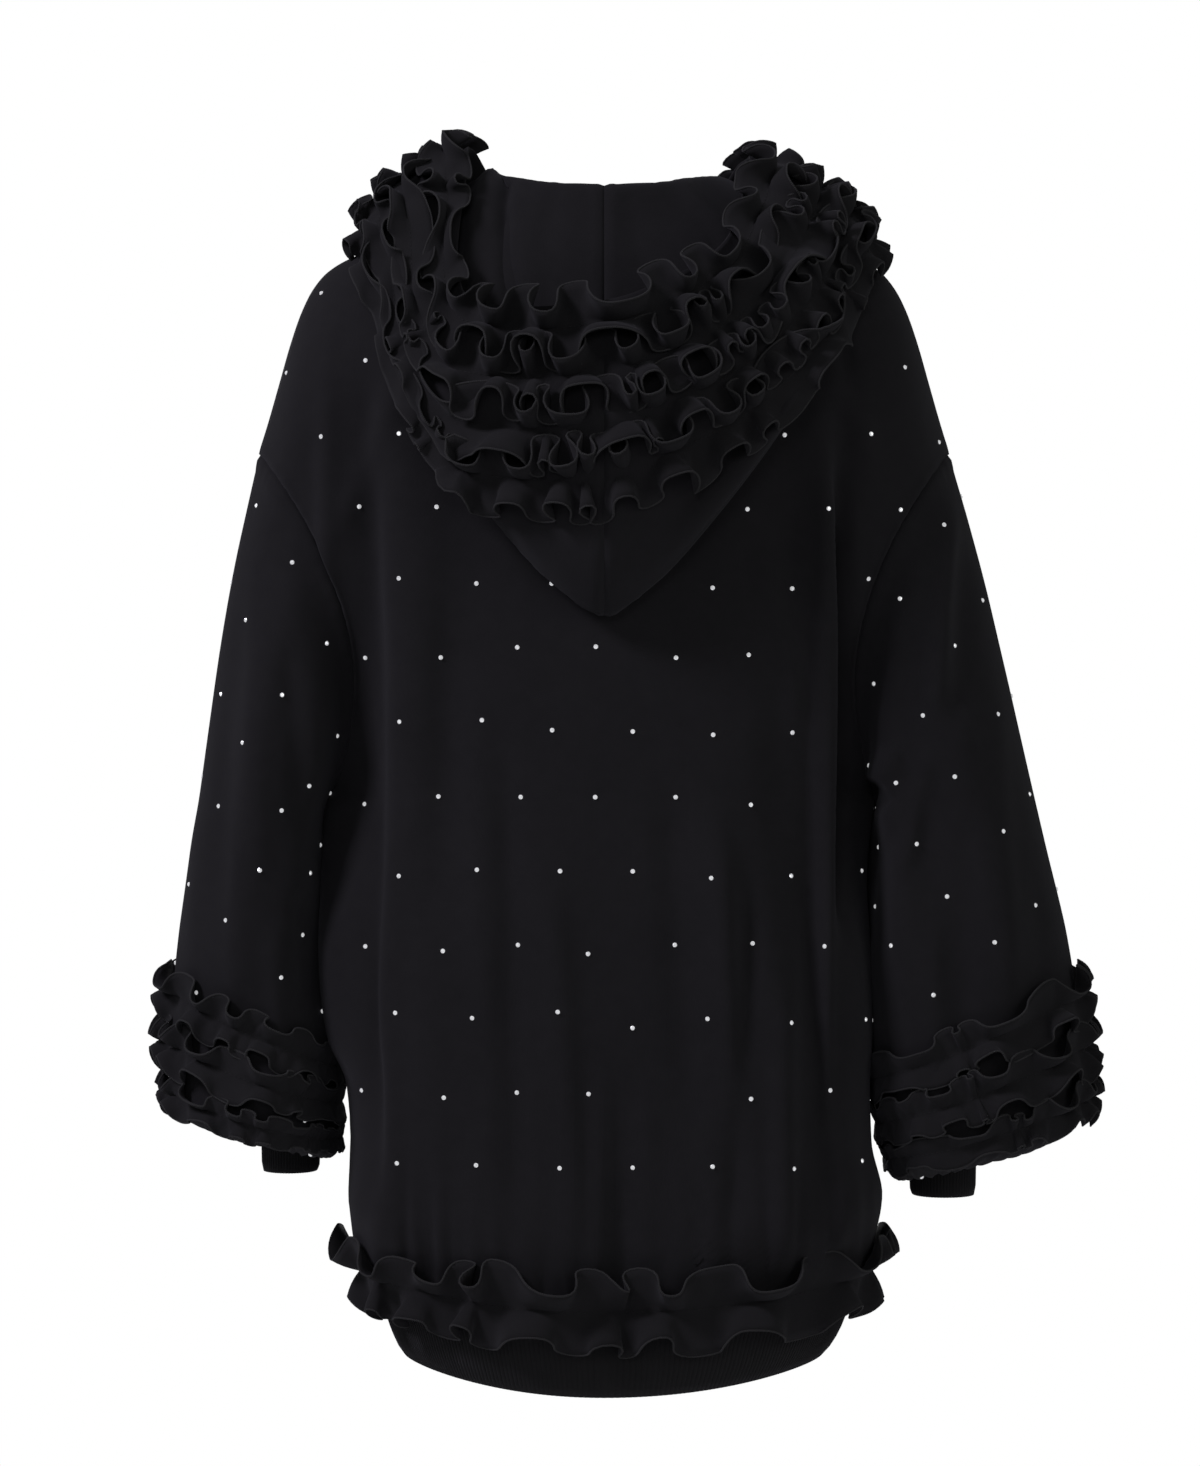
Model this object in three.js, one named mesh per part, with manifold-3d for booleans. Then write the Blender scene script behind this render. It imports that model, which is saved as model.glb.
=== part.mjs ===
// A zip up hoodie in black sweat jersey, worn on a general figure: a long loose body, wide dropped sleeves,
// a hood pushed back off the head, rib bands at hem and cuffs, and rows of gathered ruffle on hood, cuffs and hem.
// Millimetres, +Z up. The front faces -Y and the wearer's left is +X.
// The origin is midway between the neck points of the shoulders, where the wearer holds the garment up.
import * as THREE from "three";
import { mergeVertices } from "three/addons/utils/BufferGeometryUtils.js";
import Module from "manifold-3d";

// Cloth
const CLOTH = 2.0;
const RIB = 3.0;
const CUFF_RIB = 2.4;
const FRILL = 1.2;
const TAPE = 0.8;
const SEAM = 0.4;
const ROUND = 2.3;

// Levels and neck
const HEM_TOP = -792;
const HEM_BOTTOM = -848;
const HEM_DIP = 22;
const NECK_HALF = 75;
const NECK_BACK = 60;
const NECK_FRONT = 65;
const NAPE_DROP = 12;
const THROAT_DROP = 78;
const SHOULDER_ROUND = 115;

// Armhole: the loop runs from the dropped shoulder tip, ring angle 0, to the armpit, ring angle 180 degrees
const TIP = { x: 254, z: -185 };
const PIT = { x: 197, z: -431 };
const ARMHOLE_BOW = 38;
const TUCK_WIDTH = 22;

// Zip, closed to the throat: tapes behind the front edges, and a slider near the top end
const ZIP_EDGE = 5;
const TAPE_REACH = 14;
const TAPE_BEHIND = 2.4;
const CHAIN_IN = 0.25;
const CHAIN_OUT = 3.1;
const CHAIN_THICK = 2.4;
const SLIDER = { z: -102, wide: 9, long: 12, plate: 1.3, lip: 1.1, gap: 0.3 };
const BRIDGE = { bar: 0.8, off: 3.1, up: 1.5, ear: 1.2, half: 3.1 };
const PULL = { wide: 4.6, long: 30, thick: 1.5, eye: 2.6, hole: 1.5, lean: 5 };

// Half widths to the wearer's left and right, and depths behind and before the side seams, at each level
const BODY = [
  { z: -848, left: 148, right: 162, back: 92, front: 88 },
  { z: -830, left: 156, right: 173, back: 97, front: 92 },
  { z: -810, left: 163, right: 181, back: 101, front: 96 },
  { z: -792, left: 171, right: 189, back: 104, front: 99 },
  { z: -760, left: 184, right: 199, back: 109, front: 103 },
  { z: -730, left: 188, right: 201, back: 111, front: 106 },
  { z: -690, left: 186, right: 191, back: 112, front: 107 },
  { z: -600, left: 191, right: 185, back: 114, front: 109 },
  { z: -520, left: 196, right: 185, back: 115, front: 111 },
  { z: PIT.z, left: PIT.x, right: PIT.x, back: 114, front: 112 },
  { z: -380, left: 222, right: 222, back: 112, front: 112 },
  { z: -330, left: 241, right: 241, back: 110, front: 112 },
  { z: -280, left: 256, right: 256, back: 109, front: 111 },
  { z: -230, left: 266, right: 266, back: 107, front: 108 },
  { z: -185, left: 272, right: 272, back: 104, front: 105 },
  { z: 20, left: 276, right: 276, back: 96, front: 96 },
];

// The line along the top of the shoulder and over the upper arm, outwards from the neck
const SHOULDER = [
  { x: NECK_HALF, z: 0 },
  { x: 110, z: -13 },
  { x: 150, z: -27 },
  { x: 190, z: -43 },
  { x: 204, z: -52 },
  { x: 214, z: -64 },
  { x: 222, z: -80 },
  { x: 230, z: -103 },
  { x: 238, z: -131 },
  { x: 246, z: -159 },
  { x: TIP.x, z: TIP.z },
];

// Soft vertical folds: middle line at the top, lean per mm of drop, half width, upper and lower end, height
const BACK_FOLDS = [
  { x: 150, lean: 0.005, wide: 20, top: -90, bottom: -780, high: 9 },
  { x: 112, lean: 0.02, wide: 24, top: -250, bottom: -760, high: -6 },
  { x: 40, lean: 0.02, wide: 30, top: -430, bottom: -800, high: 5 },
  { x: -14, lean: 0.0, wide: 13, top: -640, bottom: -800, high: -6 },
  { x: -62, lean: -0.03, wide: 26, top: -420, bottom: -800, high: 5 },
  { x: -100, lean: -0.06, wide: 22, top: -470, bottom: -790, high: 7 },
  { x: -158, lean: -0.01, wide: 16, top: -130, bottom: -760, high: 9 },
  { x: -130, lean: 0.0, wide: 18, top: -160, bottom: -700, high: -6 },
];
const FRONT_FOLDS = [
  { x: 140, lean: 0.01, wide: 24, top: -110, bottom: -780, high: 8 },
  { x: 88, lean: 0.02, wide: 26, top: -300, bottom: -790, high: -6 },
  { x: 46, lean: 0.01, wide: 22, top: -420, bottom: -800, high: 5 },
  { x: -52, lean: -0.02, wide: 24, top: -380, bottom: -800, high: 6 },
  { x: -98, lean: -0.01, wide: 26, top: -280, bottom: -790, high: -6 },
  { x: -146, lean: -0.01, wide: 22, top: -120, bottom: -780, high: 8 },
];

// Sleeve rings: outer and inner point, inward bow, depth behind and before the arm, and where the arm lies
const SLEEVE = {
  left: [
    { xOut: 254, zOut: -185, xIn: 197, zIn: -431, bow: 38, back: 82, front: 82, y: 0 },
    { xOut: 261, zOut: -215, xIn: 205, zIn: -447, bow: 30, back: 83, front: 81, y: -1 },
    { xOut: 271, zOut: -262, xIn: 209, zIn: -466, bow: 20, back: 85, front: 82, y: -3 },
    { xOut: 282, zOut: -325, xIn: 209, zIn: -490, bow: 10, back: 87, front: 84, y: -5 },
    { xOut: 293, zOut: -396, xIn: 206, zIn: -522, bow: 4, back: 88, front: 85, y: -8 },
    { xOut: 304, zOut: -472, xIn: 202, zIn: -562, bow: 0, back: 89, front: 86, y: -12 },
    { xOut: 314, zOut: -540, xIn: 199, zIn: -606, bow: 0, back: 90, front: 86, y: -16 },
    { xOut: 318, zOut: -580, xIn: 198, zIn: -638, bow: 0, back: 90, front: 86, y: -19 },
    { xOut: 320, zOut: -618, xIn: 198, zIn: -666, bow: 0, back: 90, front: 86, y: -22 },
    { xOut: 321, zOut: -655, xIn: 198, zIn: -692, bow: 0, back: 87, front: 83, y: -24 },
    { xOut: 315, zOut: -672, xIn: 199, zIn: -701, bow: 0, back: 79, front: 75, y: -25 },
    { xOut: 293, zOut: -680, xIn: 204, zIn: -705, bow: 0, back: 58, front: 55, y: -26 },
    { xOut: 257, zOut: -674, xIn: 210, zIn: -696, bow: 0, back: 38, front: 38, y: -26 },
  ],
  right: [
    { xOut: 254, zOut: -185, xIn: 197, zIn: -431, bow: 38, back: 82, front: 82, y: 0 },
    { xOut: 263, zOut: -215, xIn: 204, zIn: -447, bow: 30, back: 83, front: 81, y: -1 },
    { xOut: 276, zOut: -262, xIn: 205, zIn: -466, bow: 20, back: 85, front: 82, y: -3 },
    { xOut: 291, zOut: -325, xIn: 202, zIn: -492, bow: 10, back: 88, front: 84, y: -5 },
    { xOut: 308, zOut: -396, xIn: 197, zIn: -524, bow: 4, back: 90, front: 85, y: -8 },
    { xOut: 326, zOut: -472, xIn: 194, zIn: -566, bow: 0, back: 92, front: 86, y: -12 },
    { xOut: 342, zOut: -540, xIn: 195, zIn: -612, bow: 0, back: 93, front: 86, y: -16 },
    { xOut: 349, zOut: -583, xIn: 199, zIn: -648, bow: 0, back: 94, front: 86, y: -19 },
    { xOut: 354, zOut: -622, xIn: 205, zIn: -680, bow: 0, back: 94, front: 86, y: -22 },
    { xOut: 357, zOut: -660, xIn: 211, zIn: -706, bow: 0, back: 90, front: 84, y: -24 },
    { xOut: 351, zOut: -680, xIn: 213, zIn: -717, bow: 0, back: 82, front: 76, y: -25 },
    { xOut: 327, zOut: -691, xIn: 219, zIn: -722, bow: 0, back: 60, front: 57, y: -26 },
    { xOut: 279, zOut: -687, xIn: 226, zIn: -712, bow: 0, back: 38, front: 38, y: -26 },
  ],
};
const CUFF_END = { left: -716, right: -734 };
const SLEEVE_FOLDS = [
  { angle: 62, turn: 2.2, wide: 15, from: 0.4, to: 7, high: 6 },
  { angle: 112, turn: -1.5, wide: 17, from: 1.5, to: 8, high: -6 },
  { angle: 250, turn: 1.6, wide: 17, from: 1, to: 8, high: 6 },
  { angle: 300, turn: -1.8, wide: 16, from: 1, to: 7, high: -5 },
];

// Hood profiles, by direction round the neck (0 is behind, positive to the wearer's left): crest of the stand,
// bottom of the bag, bulge of the outer wall, and lip of the opening
const HOOD = [
  { dir: -176, crestR: 75, crestZ: -58, bagR: 88, bagZ: -76, bulge: 2, lipR: 84, lipZ: -46 },
  { dir: -158, crestR: 78, crestZ: -44, bagR: 102, bagZ: -76, bulge: 6, lipR: 86, lipZ: -32 },
  { dir: -138, crestR: 82, crestZ: -22, bagR: 126, bagZ: -70, bulge: 9, lipR: 90, lipZ: -8 },
  { dir: -116, crestR: 86, crestZ: 2, bagR: 154, bagZ: -48, bulge: 12, lipR: 96, lipZ: 14 },
  { dir: -97, crestR: 89, crestZ: 17, bagR: 186, bagZ: -33, bulge: 14, lipR: 102, lipZ: 32 },
  { dir: -80, crestR: 88, crestZ: 18, bagR: 190, bagZ: -42, bulge: 16, lipR: 108, lipZ: 33 },
  { dir: -64, crestR: 85, crestZ: 16, bagR: 184, bagZ: -90, bulge: 18, lipR: 117, lipZ: 20 },
  { dir: -50, crestR: 82, crestZ: 13, bagR: 186, bagZ: -150, bulge: 18, lipR: 129, lipZ: -6 },
  { dir: -34, crestR: 79, crestZ: 9, bagR: 154, bagZ: -232, bulge: 19, lipR: 150, lipZ: -42 },
  { dir: -17, crestR: 77, crestZ: 7, bagR: 130, bagZ: -288, bulge: 20, lipR: 163, lipZ: -68 },
  { dir: 0, crestR: 76, crestZ: 6, bagR: 124, bagZ: -313, bulge: 18, lipR: 168, lipZ: -86 },
  { dir: 17, crestR: 77, crestZ: 7, bagR: 130, bagZ: -288, bulge: 18, lipR: 167, lipZ: -90 },
  { dir: 34, crestR: 79, crestZ: 9, bagR: 152, bagZ: -232, bulge: 17, lipR: 163, lipZ: -84 },
  { dir: 50, crestR: 82, crestZ: 13, bagR: 177, bagZ: -150, bulge: 16, lipR: 138, lipZ: -48 },
  { dir: 64, crestR: 85, crestZ: 17, bagR: 172, bagZ: -80, bulge: 16, lipR: 112, lipZ: 14 },
  { dir: 80, crestR: 87, crestZ: 20, bagR: 168, bagZ: -34, bulge: 14, lipR: 101, lipZ: 40 },
  { dir: 97, crestR: 87, crestZ: 19, bagR: 162, bagZ: -26, bulge: 13, lipR: 98, lipZ: 42 },
  { dir: 116, crestR: 84, crestZ: 4, bagR: 142, bagZ: -44, bulge: 11, lipR: 93, lipZ: 22 },
  { dir: 138, crestR: 82, crestZ: -22, bagR: 122, bagZ: -68, bulge: 9, lipR: 89, lipZ: -8 },
  { dir: 158, crestR: 78, crestZ: -44, bagR: 102, bagZ: -76, bulge: 6, lipR: 86, lipZ: -32 },
  { dir: 176, crestR: 75, crestZ: -58, bagR: 88, bagZ: -76, bulge: 2, lipR: 84, lipZ: -46 },
];
const HOOD_INSET = 2.4;
const HOOD_SINK = 1;
const HOOD_CLEAR = 4.5;
const BAG_ROUND = 9;

// Ruffle rows, each gathered along its middle: how far round the hood or down the sleeve a row lies, its
// waves, the most that its edges stand off, in degrees, and how far it stands clear where the hood is hollow
const HOOD_FRILLS = [
  { row: 0, to: 168, waves: 24, most: 74, lift: 1.6 },
  { row: 1, to: 146, waves: 21, most: 64, lift: 0.3 },
  { row: 2, to: 128, waves: 18, most: 58, lift: 0.3 },
  { row: 3, to: 112, waves: 15, most: 54, lift: 0.8 },
];
const HOOD_FRILL_HALF = 17;
const HOOD_FRILL_STEP = 37;
const CUFF_FRILLS = [
  { ring: 7, waves: 10, shift: 0.0 },
  { ring: 8, waves: 10, shift: 1.9 },
  { ring: 9, waves: 10, shift: 3.9 },
];
const CUFF_FRILL_HALF = 17;
const HEM_FRILL = { z: -784, waves: 20, half: 28 };
const STEPS_PER_WAVE = 4;

const JERSEY = { color: 0x17161a, roughness: 0.95, metalness: 0 };
const RIB_KNIT = { color: 0x141417, roughness: 0.95, metalness: 0 };
const FRILL_JERSEY = { color: 0x151517, roughness: 0.95, metalness: 0 };
const ZIP_TAPE = { color: 0x121214, roughness: 0.8, metalness: 0 };
const ZIP_METAL = { color: 0x8d8f94, roughness: 0.35, metalness: 1 };

// Folds fade over these lengths at their upper and lower ends, and run this far past the lower one
const FOLD_FADE = { top: 110, bottom: 60, past: 45 };
// The panels are tucked in along the armholes: share of the depth, and the levels where that starts and ends
const TUCK = { share: 0.34, from: -235, over: 120, to: -560, out: 100 };
const DIP = { from: -480, over: 280 };
// Lean of the armhole's outward normal, and the way down from the body into the sleeve
const ARM_NORMAL = { out: 0.9, up: 0.45, down: -0.6, step: 0.02 };
const ARM_LIFT = { degrees: 170, power: 0.8, below: 1 };
// Sleeves: roundness of the rings, rings that leave the armhole, and rings over which a fold fades
const SLEEVE_FORM = { power: 0.9, leave: 3, fade: 1.5 };
const CUFF_TUCK = { up: 3, narrow: 1 };
const BAND = { steps: 17, levels: [-812, -830] };
const SEARCH = { low: 20, high: 300, times: 24 };
// Hood bag: belly of the inner wall, and the shares of the outer wall over which its bottom and lip turn
const BAG = { belly: 5, turn: 0.16, drop: 0.5, dropOver: 0.2, lipFrom: 0.6, lipOver: 0.4 };
// Ruffles: how uneven the waves are, how far the two edges are out of step, and the share of the room they take
const RUFFLE = { even: 0.8, uneven: 0.2, beats: 5, apart: 1.3, step: 0.004, clear: 0.5, room: 0.46, least: 10 };
const CUFF_WAVE = { least: 24, more: 52 };
const HEM_WAVE = { least: 9, most: 22, more: 38, over: 0.03, phase: 0.6, short: 0.03, step: 0.001, lift: 1.5 };
const HOOD_WAVE = { rows: 4.2, phase: 2.1, pieces: 10 };
// A surface's second parameter moves a ruffle's frame this far, in mm
const FRAME_RISE = 60;
const SLIDER_FIT = { clear: 0.2, lap: 0.4 };
const EAR_FIT = { over: 0.6, lap: 0.3, long: 4.4 };

const rad = (degrees) => (degrees * Math.PI) / 180;
const clamp01 = (v) => Math.min(1, Math.max(0, v));
const ease = (v) => clamp01(v) ** 2 * (3 - 2 * clamp01(v));
const vec = (x, y, z) => new THREE.Vector3(x, y, z);

// A table's column at a value of its key column, through the rows with no overshoot (monotone cubic)
function column(table, name, at, key = "z") {
  const last = table.length - 1;
  const rising = table[last][key] > table[0][key] ? 1 : -1;
  const u = rising * at;
  const pos = (i) => rising * table[i][key];
  if (u <= pos(0)) return table[0][name];
  if (u >= pos(last)) return table[last][name];
  let i = 0;
  while (u > pos(i + 1)) i += 1;
  const slope = (k) => (table[k + 1][name] - table[k][name]) / (pos(k + 1) - pos(k));
  const knot = (k) => {
    if (k === 0) return slope(0);
    if (k === last) return slope(last - 1);
    const a = slope(k - 1);
    const b = slope(k);
    return a * b <= 0 ? 0 : (2 * a * b) / (a + b);
  };
  const h = pos(i + 1) - pos(i);
  const t = (u - pos(i)) / h;
  return (
    table[i][name] * (1 + 2 * t) * (1 - t) ** 2 +
    knot(i) * h * t * (1 - t) ** 2 +
    table[i + 1][name] * t * t * (3 - 2 * t) +
    knot(i + 1) * h * t * t * (t - 1)
  );
}

// Superellipse profile: 1 in the middle, 0 at the edge
const dome = (q) => (1 - clamp01(Math.abs(q)) ** ROUND) ** (1 / ROUND);

// Height of the armhole's x at a level, as the loop's formula gives it
function armholeX(z) {
  const c = THREE.MathUtils.clamp((z - (TIP.z + PIT.z) / 2) / ((TIP.z - PIT.z) / 2), -1, 1);
  return (TIP.x + PIT.x) / 2 + ((TIP.x - PIT.x) / 2) * c - ARMHOLE_BOW * (1 - c * c);
}

// Top edge of the body: the shoulder line, and inside it the neck curve
function topEdge(x, front) {
  const ax = Math.abs(x);
  if (ax >= NECK_HALF) return { z: column(SHOULDER, "z", ax, "x"), y: 0 };
  const c = Math.sqrt(1 - (ax / NECK_HALF) ** 2);
  return front ? { z: -THROAT_DROP * c, y: NECK_FRONT * c } : { z: -NAPE_DROP * c * c, y: NECK_BACK * c };
}

function foldHeight(folds, x, z) {
  let sum = 0;
  for (const f of folds) {
    const middle = f.x + f.lean * (z - f.top) * -1;
    const fade = ease((f.top - z) / FOLD_FADE.top) * ease((z - f.bottom + FOLD_FADE.past) / FOLD_FADE.bottom);
    sum += f.high * fade * Math.exp(-(((x - middle) / f.wide) ** 2));
  }
  return sum;
}

// Distance of the cloth from the side seams' plane at a point of the outline, behind or in front
function bodyDepth(x, z, front) {
  const a = column(BODY, x >= 0 ? "left" : "right", z);
  const edge = dome(x / a);
  const seam = (Math.abs(x) - armholeX(z)) / TUCK_WIDTH;
  const tucked = ease((TUCK.from - z) / TUCK.over) * ease((z - TUCK.to) / TUCK.out);
  const tuck = TUCK.share * tucked * Math.exp(-seam * seam);
  const full = column(BODY, front ? "front" : "back", z) * edge * (1 - tuck);
  const folds = foldHeight(front ? FRONT_FOLDS : BACK_FOLDS, x, z) * edge;
  const top = topEdge(x, front);
  const rise = 1 - clamp01((top.z - z) / SHOULDER_ROUND);
  const arch = Math.sqrt(1 - rise * rise);
  return top.y * (1 - arch) + (full + folds) * arch;
}

// The hem hangs lower in the middle than at the sides: share is 0 in the middle and 1 at a side seam
const hemDip = (share, z) => HEM_DIP * (1 - share * share) * ease((DIP.from - z) / DIP.over);

function bodyPoint(x, z, front) {
  const share = clamp01(Math.abs(x) / column(BODY, x >= 0 ? "left" : "right", z));
  return vec(x, (front ? -1 : 1) * bodyDepth(x, z, front), z - hemDip(share, z));
}

// A closed wall from a grid of middle points: each point moves half the thickness out and in along its normal
function wall(rows, thick, { ring = false, normalAt = null } = {}) {
  const nv = rows.length;
  const nu = rows[0].length;
  const at = (j, i) => rows[j][ring ? (i + nu) % nu : i];
  const outer = [];
  const inner = [];
  for (let j = 0; j < nv; j++)
    for (let i = 0; i < nu; i++) {
      const du = vec(0, 0, 0).subVectors(
        at(j, ring ? i + 1 : Math.min(i + 1, nu - 1)),
        at(j, ring ? i - 1 : Math.max(i - 1, 0)),
      );
      const dv = vec(0, 0, 0).subVectors(at(Math.min(j + 1, nv - 1), i), at(Math.max(j - 1, 0), i));
      let n = du.cross(dv).normalize();
      if (normalAt) n = normalAt(j, i, n) || n;
      const p = rows[j][i];
      outer.push(p.clone().addScaledVector(n, thick / 2));
      inner.push(p.clone().addScaledVector(n, -thick / 2));
    }
  const points = [...outer, ...inner];
  const faces = [];
  const quad = (a, b, c, d) => faces.push(a, b, c, a, c, d);
  const id = (j, i) => j * nu + ((i + nu) % nu);
  const under = nv * nu;
  const across = ring ? nu : nu - 1;
  for (let j = 0; j < nv - 1; j++)
    for (let i = 0; i < across; i++) {
      quad(id(j, i), id(j, i + 1), id(j + 1, i + 1), id(j + 1, i));
      quad(under + id(j, i), under + id(j + 1, i), under + id(j + 1, i + 1), under + id(j, i + 1));
    }
  for (let i = 0; i < across; i++) {
    quad(id(0, i), under + id(0, i), under + id(0, i + 1), id(0, i + 1));
    const top = nv - 1;
    quad(id(top, i), id(top, i + 1), under + id(top, i + 1), under + id(top, i));
  }
  if (!ring)
    for (let j = 0; j < nv - 1; j++) {
      quad(id(j, 0), id(j + 1, 0), under + id(j + 1, 0), under + id(j, 0));
      const end = nu - 1;
      quad(id(j, end), under + id(j, end), under + id(j + 1, end), id(j + 1, end));
    }
  return closed(points, faces);
}

// Geometry from points and faces, turned so that the faces point out
function closed(points, faces) {
  let six = 0;
  for (let k = 0; k < faces.length; k += 3) {
    const [a, b, c] = [points[faces[k]], points[faces[k + 1]], points[faces[k + 2]]];
    six += a.dot(b.clone().cross(c));
  }
  const order = six < 0 ? faces.slice().reverse() : faces;
  const geometry = new THREE.BufferGeometry();
  geometry.setAttribute(
    "position",
    new THREE.Float32BufferAttribute(
      points.flatMap((p) => [p.x, p.y, p.z]),
      3,
    ),
  );
  geometry.setIndex(order);
  geometry.computeVertexNormals();
  return geometry;
}

const garment = new THREE.Group();
function add(name, geometry, finish, parent = garment) {
  const mesh = new THREE.Mesh(geometry, new THREE.MeshStandardMaterial(finish));
  mesh.name = name;
  parent.add(mesh);
  return mesh;
}

// Armhole loop: outward normal and the way from body to sleeve at a ring angle
function armholeFrame(side, angle) {
  const c = Math.cos(angle);
  const s = Math.sin(angle);
  const { out, up, down, step } = ARM_NORMAL;
  const normal = vec(c > 0 ? out * side * c : 0, s, c > 0 ? up * c : c).normalize();
  const along = armholePoint(side, angle + step).sub(armholePoint(side, angle - step));
  const away = along.cross(normal).normalize();
  if (away.dot(vec(side, 0, down)) < 0) away.negate();
  return { normal, away };
}

function armholePoint(side, angle) {
  const c = Math.cos(angle);
  const z = (TIP.z + PIT.z) / 2 + ((TIP.z - PIT.z) / 2) * c;
  const x = armholeX(z) * side;
  const front = Math.sin(angle) < 0;
  const flat = Math.abs(Math.sin(angle)) < 1e-6;
  return vec(x, flat ? 0 : (front ? -1 : 1) * bodyDepth(x, z, front), z);
}

// Grid lines shared by the panels: shares of the width, low levels, and armhole ring angles
const NECK_ANGLES = [0, 22.5, 45, 67.5, 90, 112.5, 135, 157.5, 180];
const NECK_SHARES = NECK_ANGLES.slice(0, 5).map((a) => (NECK_HALF / TIP.x) * Math.sin(rad(a)));
const SHARES = [...NECK_SHARES, 0.39, 0.49, 0.59, 0.69, 0.79, 0.88, 0.95, 0.985, 1];
const LOW_LEVELS = [HEM_TOP, -765, -730, -670, -590, -510];
const ARM_ANGLES = [180, 145, 115, 90, 68, 50, 36, 22, 10, 0];

// Rows of one body panel from hem to shoulder; shares runs across it, below 0 on the wearer's right
function panelRows(shares, front) {
  const seamShift = front ? -SEAM / 2 : SEAM / 2;
  const home = shares[shares.length - 1] > 0 ? 1 : -1;
  const place = (side, share, edge, z, shift) => {
    const x = front && share < 1e-9 ? side * ZIP_EDGE : side * edge * share;
    const p = bodyPoint(x, z(Math.abs(x)), front);
    if (shift) p.y = seamShift;
    return p;
  };
  const low = LOW_LEVELS.map((level) =>
    shares.map((s) => {
      const side = Math.sign(s) || home;
      const edge = column(BODY, side > 0 ? "left" : "right", level);
      return place(side, Math.abs(s), edge, () => level, Math.abs(s) === 1);
    }),
  );
  const high = ARM_ANGLES.map((degrees) => {
    const angle = rad(degrees);
    const lift = ease((180 - degrees) / ARM_LIFT.degrees) ** ARM_LIFT.power;
    const end = armholePoint(1, angle);
    const endTop = topEdge(end.x, front).z;
    const level = (x) => {
      const top = topEdge(x, front).z;
      if (degrees === 0) return top;
      return Math.min(end.z + (top - endTop) * lift, top - ARM_LIFT.below);
    };
    return shares.map((s) => {
      const side = Math.sign(s) || home;
      if (Math.abs(s) === 1) {
        const turn = front ? -angle : angle;
        const p = armholePoint(side, turn).addScaledVector(armholeFrame(side, turn).away, -SEAM / 2);
        if (degrees === 0 || degrees === 180) p.y = seamShift;
        return p;
      }
      const onShoulder = degrees === 0 && end.x * Math.abs(s) >= NECK_HALF - 1e-6;
      return place(side, Math.abs(s), end.x, level, onShoulder);
    });
  });
  return [...low, ...high];
}

// Normals at a panel's seams lie in the seam's own plane, so that neighbouring walls meet square
function panelNormals(shares, front) {
  const lows = LOW_LEVELS.length;
  const rowCount = lows + ARM_ANGLES.length;
  return (j, i, n) => {
    const s = shares[i];
    const edge = Math.abs(s) === 1;
    if (j === 0) return vec(n.x, n.y, 0).normalize();
    if (edge && j >= lows) {
      const angle = rad(ARM_ANGLES[j - lows]) * (front ? -1 : 1);
      return armholeFrame(Math.sign(s), angle).normal;
    }
    const neck = Math.abs(s) * TIP.x < NECK_HALF - 1e-6;
    if (edge || (j === rowCount - 1 && !neck)) {
      const m = vec(n.x, 0, n.z);
      return m.normalize();
    }
    return n;
  };
}

function addBodyPanels() {
  const mirrored = [...SHARES.slice(1).reverse().map((s) => -s), ...SHARES];
  add("back_panel", panel(mirrored, false), JERSEY);
  add("front_panel_left", panel(SHARES, true), JERSEY);
  add("front_panel_right", panel(SHARES.map((s) => -s).reverse(), true), JERSEY);
}

// The wall's outside is found from one point's normal: it must point away from the middle plane
function panel(shares, front) {
  const rows = panelRows(shares, front);
  const ordered = front ? rows.map((r) => r.slice().reverse()) : rows;
  const across = front ? shares.slice().reverse() : shares;
  const sample = outward(ordered);
  const turned = sample * (front ? -1 : 1) < 0 ? ordered.map((r) => r.slice().reverse()) : ordered;
  const used = turned === ordered ? across : across.slice().reverse();
  return wall(turned, CLOTH, { normalAt: panelNormals(used, front) });
}

// y of the grid normal in the middle of a panel
function outward(rows) {
  const j = Math.floor(rows.length / 2);
  const i = Math.floor(rows[0].length / 2);
  const du = rows[j][i + 1].clone().sub(rows[j][i - 1]);
  const dv = rows[j + 1][i].clone().sub(rows[j - 1][i]);
  return du.cross(dv).y;
}

// Sleeve: an ellipse through each ring's outer and inner point, bowed in, drawn to the armhole at its top
function sleeveRing(side, angle, row) {
  const table = SLEEVE[side > 0 ? "left" : "right"].map((r, i) => ({ ...r, row: i }));
  const get = (name) => column(table, name, row, "row");
  const c = Math.cos(angle);
  const s = Math.sin(angle);
  const x = (get("xOut") + get("xIn")) / 2 + ((get("xOut") - get("xIn")) / 2) * c - get("bow") * s * s;
  const y = get("y") + (s >= 0 ? get("back") : get("front")) * Math.sign(s) * Math.abs(s) ** SLEEVE_FORM.power;
  const z = (get("zOut") + get("zIn")) / 2 + ((get("zOut") - get("zIn")) / 2) * c;
  return vec(x * side, y, z);
}

function sleevePoint(side, angle, row) {
  const p = sleeveRing(side, angle, row);
  const start = armholePoint(side, angle).addScaledVector(armholeFrame(side, angle).away, SEAM / 2);
  p.addScaledVector(start.sub(sleeveRing(side, angle, 0)), 1 - ease(row / SLEEVE_FORM.leave));
  const degrees = (THREE.MathUtils.radToDeg(angle) + 360) % 360;
  let high = 0;
  for (const f of SLEEVE_FOLDS) {
    const off = ((degrees - f.angle - f.turn * row + 540) % 360) - 180;
    const fade = ease((row - f.from) / SLEEVE_FORM.fade) * ease((f.to - row) / SLEEVE_FORM.fade);
    high += f.high * fade * Math.exp(-((off / f.wide) ** 2));
  }
  const centre = sleeveRing(side, 0, row).add(sleeveRing(side, Math.PI, row)).multiplyScalar(0.5);
  const out = p.clone().sub(centre).setZ(0).normalize();
  return p.addScaledVector(out, high);
}

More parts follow.
